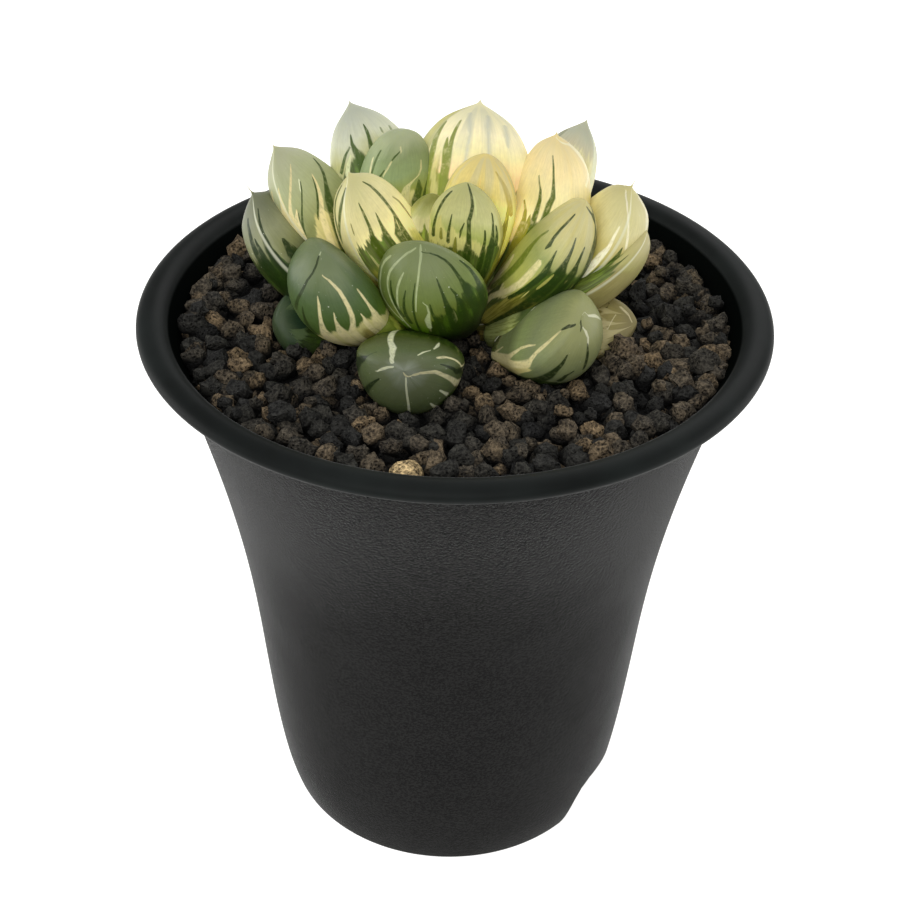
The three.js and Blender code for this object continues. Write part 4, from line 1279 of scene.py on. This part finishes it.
class LeafFinish(Finish):
    def __init__(self, name, skin):
        super().__init__(name)
        self.u, self.v, unused = self.parts(self.node("ShaderNodeUVMap", {"uv_map": "leaf_skin"}))
        self.onward = 1 - (1 - self.v).math("MAXIMUM", 0.0) ** 0.5
        self.slow = self.grain(9, 4)
        self.fine = self.grain(150, 6)
        self.streak = self.grain(50, 5, 3.0, 0.65)
        self.fray = self.grain(60, 30, 3.0, 0.6)
        leaned = self.u - (self.v - 0.8) * skin.slant + 2.0 if skin.slant else self.u + 2.0
        if skin.start:
            leaned = (leaned - skin.start).math("PINGPONG", 0.5) + skin.start
        self.turn = leaned
        self.across = (leaned + (self.slow - 0.5) * WAVER + 1.0).math("FRACT")
        self.edge = self.v + (self.streak - 0.5) * STREAKED_EDGE + (self.fray - 0.5) * FRAYED_EDGE

    def grain(self, around, along, detail=2.0, roughness=0.5, layer=0.0):
        """A noise with so many grains round the leaf and so many along it."""
        return self.noise(self.vector(self.u * around, self.v * along, layer), 1.0, detail, roughness)

    def reach(self, skyline, soft):
        """The mask of a mass. Its tall flames are kept sharp: the ramp holds them lifted by a root."""
        heights = sorted(height for place, height in skyline)
        low = min(heights[len(heights) // 2], HIGHEST_BASE)
        room = 1 - low
        lifted = [
            (place, low + room * ((height - low) / room) ** (1 / SPIKE) if height > low else height)
            for place, height in skyline
        ]
        height = self.ramp(self.across, lifted)
        over = (height - low).math("MAXIMUM", 0.0) / room
        height = height.math("MINIMUM", low) + over ** SPIKE * room
        return (height - self.edge).within(-soft, soft)

    def stroke(self, line, soft):
        """The mask of a pen stroke. A ramp along the leaf holds its place round it and its half width."""
        stops = [(1 - (1 - along) ** 0.5, (around, half, 0)) for around, along, half in line[::-1]]
        last, (around, half, unused) = stops[-1]
        stops.append((min(last + 0.01, 1), (around, 0, 0)))
        around, half, unused = self.parts(self.ramp(self.onward, stops))
        distance = (self.turn - around).math("PINGPONG", 0.5) + (self.fray - 0.5) * FRAYED_STROKE
        return ((half - distance) / (half * soft + SOFTEST)).within(0.0, 1.0)

    def uneven(self, code, one, other, share):
        return self.mix(skin_shade(code, *one), skin_shade(code, *other), share)


def skin_shade(code, strength, blue):
    """A colour made stronger or weaker, with part of its blue taken out."""
    red, green, low = tint(code)[:3]
    return [min(part * strength, 1.0) for part in (red, green, low * blue)] + [1.0]


print("leaf masks are ready")

# %% [markdown]
# The skin itself is waxy and a little see-through, so some light goes in and comes out beside the
# place where it went in. The colours go on in the order of the real leaf: the ground, the masses, the
# pen strokes, the clear bands of the window, and last the lines and glints of the wax. Painted light and
# shade go on with the lines: darker deep at the foot and towards the tip, lighter between. A pale edge
# of painted rim light follows on some leaves.

# %% Leaf skin
RIM_LIT_LEAVES = (
    "leaf_left_centre", "leaf_right_outer", "leaf_left_upper", "leaf_left_low", "leaf_right_under",
    "leaf_back_left",
)
PAINTED_LIGHT_ALONG_LEAF = [(0.28, 0.5), (0.42, 1.0), (0.63, 0.93), (0.75, 0.83), (0.85, 0.74), (0.97, 0.59)]
LIGHT = 1.35
VEIL_SOFT = 1.0
STROKE_SOFT = 0.4


def lay_masses(paint, skin):
    ground = paint.ramp(paint.v + (paint.slow - 0.5) * 0.12, skin.ground)
    cream = paint.uneven(skin.cream, (1.0, 0.85), (0.8, 0.75), paint.slow.within(0.35, 0.7))
    green = paint.uneven(skin.green, (0.7, 0.4), (2.0, 0.5), paint.streak.within(0.44, 0.68))
    foot = paint.uneven(skin.foot, (1.0, 0.8), (0.5, 0.5), paint.streak.within(0.45, 0.6))
    slits = paint.grain(42, 3.2, 2.0, 0.55, 4.0).within(0.6, 0.64)
    slits = slits * paint.v.within(0.25, 0.4) * (1 - paint.v.within(0.6, 0.7))
    green = paint.mix(green, skin_shade(skin.cream, 0.75, 0.6), slits * skin.slits)
    shade = paint.mix(ground, cream, paint.reach(skin.cream_line, 0.02) * 0.85)
    shade = paint.mix(shade, green, paint.reach(skin.green_line, 0.018) * 0.92)
    return paint.mix(shade, foot, paint.reach(skin.foot_line, 0.05) * 0.8)


def draw_strokes(paint, shade, name):
    by_ink = {}
    for ink, line in LINES.get(name, []):
        mask = paint.stroke(line, VEIL_SOFT if ink == "veil" else STROKE_SOFT)
        by_ink[ink] = by_ink[ink].math("MAXIMUM", mask) if ink in by_ink else mask
    for ink, mask in by_ink.items():
        share = mask * (paint.fray.within(0.3, 0.55) * 0.35 + 0.6)
        shade = paint.mix(shade, tint(INKS[name][ink]), share)
    return shade


def lay_wax(paint, shade, name, skin):
    u, v = paint.u, paint.v
    if skin.veil:
        bands = paint.grain(22, 1.5, 1.0, 0.4, 9.0).within(0.42, 0.6)
        clear = bands * v.within(0.66, 0.84) * (1 - v.within(0.97, 1.0))
        shade = paint.mix(shade, tint("#b9bdae"), clear * skin.veil)
    # The wax lines are multiplied by a ramp of painted light and shade along the leaf: dark deep at the foot,
    # lighter midway and darker towards the tip.
    lines = (paint.fine.within(0.3, 0.7) - 0.5) * 0.1 + (paint.fray - 0.5) * 0.24
    lines = (lines * (1 - v.within(0.86, 1.0)) + 1.0) * (paint.ramp(v, PAINTED_LIGHT_ALONG_LEAF) * LIGHT)
    shade = paint.mix(shade, paint.vector(lines, lines, lines), 1.0, "MULTIPLY")
    # Some leaves get a pale band along both edges: painted rim light.
    if name in RIM_LIT_LEAVES:
        painted_rim_light = 1 - u.math("PINGPONG", 0.25).within(0.002, 0.014)
        shade = paint.mix(shade, tint("#e3e4ca"), painted_rim_light * 0.55)
    glints = paint.grain(80, 55, 1.0, 0.3, 2.0).within(0.76, 0.82) * v.within(0.6, 0.75)
    shade = paint.mix(shade, tint("#dfe3d0"), glints * 0.5)
    bristle = v.within(1.003, 1.006)
    return paint.mix(shade, tint("#d8d2b4"), bristle * 0.7)


def leaf_skin(name, skin):
    paint = LeafFinish("skin_" + name, skin)
    shade = lay_masses(paint, skin)
    shade = draw_strokes(paint, shade, name)
    shade = lay_wax(paint, shade, name, skin)
    relief = paint.bump(paint.fine * 0.15 + paint.fray * 0.85, 0.0001, 0.4)
    return paint.surface({
        "Base Color": shade, "Roughness": 0.36 + paint.slow * 0.1, "Normal": relief, "IOR": 1.3,
        "Subsurface Weight": 0.2, "Subsurface Radius": (1.0, 0.9, 0.4), "Subsurface Scale": 0.0015,
    })


LEAF_SLOTS = {node["node"]: node["material_slot"] for node in frame["record"]["subparts"]}
for name, piece in leaf_pieces.items():
    finish_piece(piece, [name], LEAF_SLOTS[name], leaf_skin(name, SKINS[name]))

# %% [markdown]
# ## Stem
# Only a hint of the stem shows between the leaves. It is short and ringed with old leaf scars, so its
# ring is pulled up in small steps of two widths.

# %% The stem
CROWN = (-1.5, 0.0)
STEM_FOOT = [(2.4, 57.0), (2.9, 57.4)]
STEM_TOP = [(2.4, 70.4), (0.4, 70.9)]
SCARS = 9
FIRST_SCAR = 58.0
SCAR_STEP = 1.3
SCAR_HEIGHT = 0.9
SCAR_RADIUS = 2.95
NECK_RADIUS = 2.75


def stem_points():
    scars = []
    for number in range(SCARS):
        height = FIRST_SCAR + number * SCAR_STEP
        scars += [(SCAR_RADIUS, height), (NECK_RADIUS, height + SCAR_HEIGHT)]
    return STEM_FOOT + scars + STEM_TOP


def stem_bark():
    paint = Finish("stem_bark")
    place = paint.place()
    grain = paint.noise(place, 900, 4.0, 0.6)
    shade = paint.ramp(grain, [(0.3, "#3b3a1a"), (0.55, "#6d6a35"), (0.8, "#8f8650")])
    return paint.surface({"Base Color": shade, "Roughness": 0.7, "Normal": paint.bump(grain, 0.0002, 0.5)})


stem = draw_shape("stem_body", 24, round_rings(stem_points()))
stem.location = (CROWN[0] * MM, CROWN[1] * MM, 0)
bpy.ops.object.transform_apply(location=True)
round_off(stem, 1)
finish_piece(stem, ["stem"], "stem", stem_bark())

# %% [markdown]
# ## Grit
# The pot is filled with lava grit: rough, porous stones of 2 to 4 mm in black and brown, with a few tan
# ones. A few stones are modelled, each from a ball whose points are shaken and which is cut flat on up
# to three sides. The last model is a smooth pebble. Copies of them, turned and sized by a seeded draw,
# lie in three layers on a closed bed.

# %% The bed under the stones
BED = [
    (0.4, 9.0), (20.0, 9.0), (21.5, 9.6), (22.3, 16.0), (23.1, 22.0), (24.6, 36.0), (25.8, 43.5),
    (27.3, 51.0), (28.9, 57.5), (30.4, 63.0), (31.2, 66.6), (30.6, 67.3), (20.0, 67.4), (8.0, 67.4),
    (0.4, 67.4),
]
BED_SIDES = 64
bed = draw_shape("grit_fill", BED_SIDES, round_rings(BED))
bpy.ops.object.shade_smooth()
print("the bed reaches up to", max(height for radius, height in BED), "mm")

# %% Models of a stone
STONE_KINDS = 10
STONE_SEED = 300
SHAKEN = 0.24
PEBBLE_SHAKEN = 0.07
MOST_CUTS = 3


def model_stone(number, shake):
    draw = random.Random(STONE_SEED + number)
    bpy.ops.object.select_all(action="DESELECT")
    bpy.ops.mesh.primitive_ico_sphere_add(subdivisions=2, radius=1)
    stone = bpy.context.object
    bpy.ops.object.mode_set(mode="EDIT")
    bpy.ops.mesh.select_all(action="SELECT")
    bpy.ops.transform.vertex_random(offset=shake, uniform=0.6, normal=0.4, seed=number)
    for cut in range(draw.randrange(MOST_CUTS + 1) if number < STONE_KINDS else 0):
        side = Vector([draw.uniform(-1, 1) for axis in range(3)]).normalized()
        bpy.ops.mesh.select_all(action="SELECT")
        bpy.ops.mesh.bisect(
            plane_co=side * draw.uniform(0.7, 0.9), plane_no=side, clear_outer=True, use_fill=True)
    bpy.ops.mesh.select_all(action="SELECT")
    size = [draw.uniform(0.85, 1.2), draw.uniform(0.85, 1.2), draw.uniform(0.7, 0.95)]
    bpy.ops.transform.resize(value=size, center_override=(0, 0, 0))
    bpy.ops.mesh.normals_make_consistent(inside=False)
    bpy.ops.object.mode_set(mode="OBJECT")
    for quality in ("tone", "rise"):
        stone.data.attributes.new(quality, "FLOAT", "POINT")
    return stone


models = [model_stone(number, SHAKEN) for number in range(STONE_KINDS)]
models.append(model_stone(STONE_KINDS, PEBBLE_SHAKEN))
print("stone models have", [len(model.data.polygons) for model in models], "faces")

# %% [markdown]
# The places of the stones are drawn layer by layer, on a grid that is shaken. The top layer has gaps,
# and the grit lies a little higher near the wall. A stone that would lie inside a leaf is pushed out of
# it and down, as it would fall. Near the wall it is pulled in to fit. The pale pebble in front and the
# small heap on the right, which the photograph shows, have places of their own.

# %% Places for the stones
Layer = namedtuple("Layer", "spacing level small large")
LAYERS = [Layer(2.7, 67.1, 1.3, 1.9), Layer(3.1, 68.35, 1.1, 1.85), Layer(3.7, 69.2, 0.75, 1.6)]
Stone = namedtuple("Stone", "x y z size tone")
PEBBLE = Stone(-4.7, -30.0, 68.5, 2.15, 1.0)
HEAPED_STONES = [
    Stone(19.3, -7.2, 70.7, 1.7, 0.8), Stone(18.2, -8.4, 69.4, 1.6, 0.68),
    Stone(20.6, -8.7, 69.4, 1.5, 0.72), Stone(19.5, -9.4, 69.1, 1.5, 0.6),
]
HEAPED_KIND = 9
PLACED_SPIN = [0.4, 0.2, 0.9]
LAYING_SEED = 11
GRID_REACH = 34
ROW_STEP = 0.87
SHIFT = 0.3
LIFT = 0.4
DRAWN_TONES = 0.97
FULL_TURN = 6.28
GAPS = 0.45
WALL_AT_GRIT = 32.3
HEAP = 0.9


def heaped(away):
    """How much higher the grit lies at this distance from the pot's axis."""
    return HEAP * (away / WALL_AT_GRIT) ** 4


def draw_places(layer, draw):
    rows = math.ceil(GRID_REACH / layer.spacing)
    for row in range(-rows, rows + 1):
        for column in range(-rows, rows + 1):
            x = (column + (row % 2) / 2 + draw.uniform(-SHIFT, SHIFT)) * layer.spacing
            y = (row * ROW_STEP + draw.uniform(-SHIFT, SHIFT)) * layer.spacing
            size = draw.uniform(layer.small ** 2, layer.large ** 2) ** 0.5
            level = layer.level + draw.uniform(-LIFT, LIFT)
            tone = draw.random() * DRAWN_TONES
            kind = draw.randrange(STONE_KINDS)
            spin = [draw.uniform(0, FULL_TURN) for axis in range(3)]
            if layer is LAYERS[-1] and draw.random() < GAPS:
                continue
            yield x, y, level, size, tone, kind, spin


print("the layers lie at", [layer.level for layer in LAYERS], "mm")

# %% Laying the stones
PUSHES = 10
DOWNWARD = 0.2
CLEARANCE = 0.02
LOWEST_STONE = 66.6
STONE_SHARES = (1, 0.75, 0.55)


def leaf_tree():
    corners, faces = [], []
    for piece in leaf_pieces.values():
        start = len(corners)
        corners += [point.co.copy() for point in piece.data.vertices]
        faces += [[start + corner for corner in face.vertices] for face in piece.data.polygons]
    return BVHTree.FromPolygons(corners, faces)


def settle(tree, centre, reach):
    for step in range(PUSHES):
        nearest, normal, face, distance = tree.find_nearest(centre)
        away = centre - nearest
        depth = distance if away.dot(normal) > 0 else -distance
        if depth >= reach:
            return centre
        push = away.normalized() if depth > 0 else normal.copy()
        push.z = min(push.z, 0) - DOWNWARD
        centre = centre + push.normalized() * (reach - depth + CLEARANCE * MM)
    return None


def lay_stones(tree):
    draw = random.Random(LAYING_SEED)
    laid = []
    for layer in LAYERS:
        for x, y, level, size, tone, kind, spin in draw_places(layer, draw):
            away = math.hypot(x, y)
            taken = math.dist((x, y), (PEBBLE.x, PEBBLE.y)) < (size + PEBBLE.size) * 0.85
            if away > WALL_AT_GRIT + 0.8 or taken and layer is not LAYERS[0]:
                continue
            shrink = min(1, (WALL_AT_GRIT - size * 0.75) / away) if away else 1
            height = level - size * 0.35 + heaped(away)
            for share in STONE_SHARES:
                spot = Vector((x * shrink, y * shrink, height)) * MM
                spot = settle(tree, spot, size * share * 0.85 * MM)
                if spot and spot.z > LOWEST_STONE * MM:
                    laid.append((kind, spot, size * share, tone, spin))
                    break
    for stone in [PEBBLE, *HEAPED_STONES]:
        kind = STONE_KINDS if stone is PEBBLE else HEAPED_KIND
        laid.append((kind, Vector(stone[:3]) * MM, stone.size, stone.tone, PLACED_SPIN))
    return laid


print("a stone is pushed up to", PUSHES, "times")

# %% [markdown]
# Every stone keeps its tone in its points, and how high each point stands on the stone and in the grit,
# for painted shade: the finish darkens the undersides of the stones and the gaps between them.

# %% Copies of the models
GRIT_HEIGHT = 68.1
SHADE_ON_STONE = 0.55
SHADE_IN_GRIT = 0.5


def copy_stones(laid):
    stones = []
    for kind, spot, size, tone, spin in laid:
        stone = models[kind].copy()
        stone.data = models[kind].data.copy()
        turn = Matrix.Rotation(spin[2], 4, "Z") @ Matrix.Rotation(spin[1], 4, "Y")
        turn = turn @ Matrix.Rotation(spin[0], 4, "X")
        stone.data.transform(Matrix.Translation(spot) @ turn @ Matrix.Scale(size * MM, 4))
        points = stone.data.vertices
        level = GRIT_HEIGHT + heaped(math.hypot(spot.x, spot.y) / MM)
        # How high each point stands, on its stone and in the grit, feeds the grit's painted shade.
        rise = [
            (point.co.z - spot.z) / (size * MM) * SHADE_ON_STONE + (point.co.z / MM - level) * SHADE_IN_GRIT
            for point in points
        ]
        stone.data.attributes["tone"].data.foreach_set("value", [tone] * len(points))
        stone.data.attributes["rise"].data.foreach_set("value", rise)
        bpy.context.scene.collection.objects.link(stone)
        stones.append(stone)
    return stones


laid = lay_stones(leaf_tree())
stones = copy_stones(laid)
for model in models:
    bpy.data.objects.remove(model)
print(len(laid), "stones are laid")

# %% [markdown]
# The stones and the bed are joined to one piece. The bed is given full painted shade, so it lies dark between
# them.

# %% One body of grit
for quality in ("tone", "rise"):
    bed.data.attributes.new(quality, "FLOAT", "POINT")
bed.data.attributes["rise"].data.foreach_set("value", [-1.0] * len(bed.data.vertices))
bpy.ops.object.select_all(action="DESELECT")
for stone in stones:
    stone.select_set(True)
bpy.context.view_layer.objects.active = stones[0]
bpy.ops.object.join()
grit_stones = bpy.context.object
bpy.ops.object.shade_smooth_by_angle(angle=math.radians(50))
grit_stones.select_set(True)
bed.select_set(True)
bpy.context.view_layer.objects.active = bed
bpy.ops.object.join()


def lava_grit():
    paint = Finish("lava_grit")
    place = paint.place()
    tone = paint.node("ShaderNodeAttribute", {"attribute_name": "tone"}, output=2)
    rise = paint.node("ShaderNodeAttribute", {"attribute_name": "rise"}, output=2)
    cloud = paint.noise(place, 900, 4.0, 0.65)
    grain = paint.noise(place, 3000, 3.0, 0.7)
    holes = paint.pits(place, 2300)
    stone = paint.ramp(tone, [
        (0.0, "#1c1c1b"), (0.3, "#272622"), (0.5, "#36322b"), (0.68, "#463e32"), (0.84, "#564a39"),
        (0.95, "#61523d"), (0.985, "#61523d"), (1.0, "#a8926b")])
    # Cloud and grain vary each stone's tone; then the rise darkens it as painted shade, low on each stone and
    # deep in the grit.
    light = cloud.within(0.34, 0.68) * 0.85 + grain.within(0.4, 0.64) * 0.85 + 0.12
    light = light * (rise.within(-0.4, 0.8) ** 1.8 * 1.5 + 0.012)
    shade = paint.mix(stone, paint.vector(light, light, light), 1.0, "MULTIPLY")
    # The pits of the pores are darkened as painted shade.
    deep = (1 - holes.within(0.05, 0.35)) * (1 - tone.within(0.985, 0.99))
    shade = paint.mix(shade, tint("#070706"), deep * 0.6)
    relief = paint.bump(holes.within(0.0, 0.5) * 0.8 + cloud + grain * 0.4, 0.0006, 1.0)
    return paint.surface({
        "Base Color": shade, "Roughness": 0.85 - grain * 0.15, "Normal": relief, "IOR": 1.3,
    })


finish_piece(bed, ["grit"], "lava_grit", lava_grit())
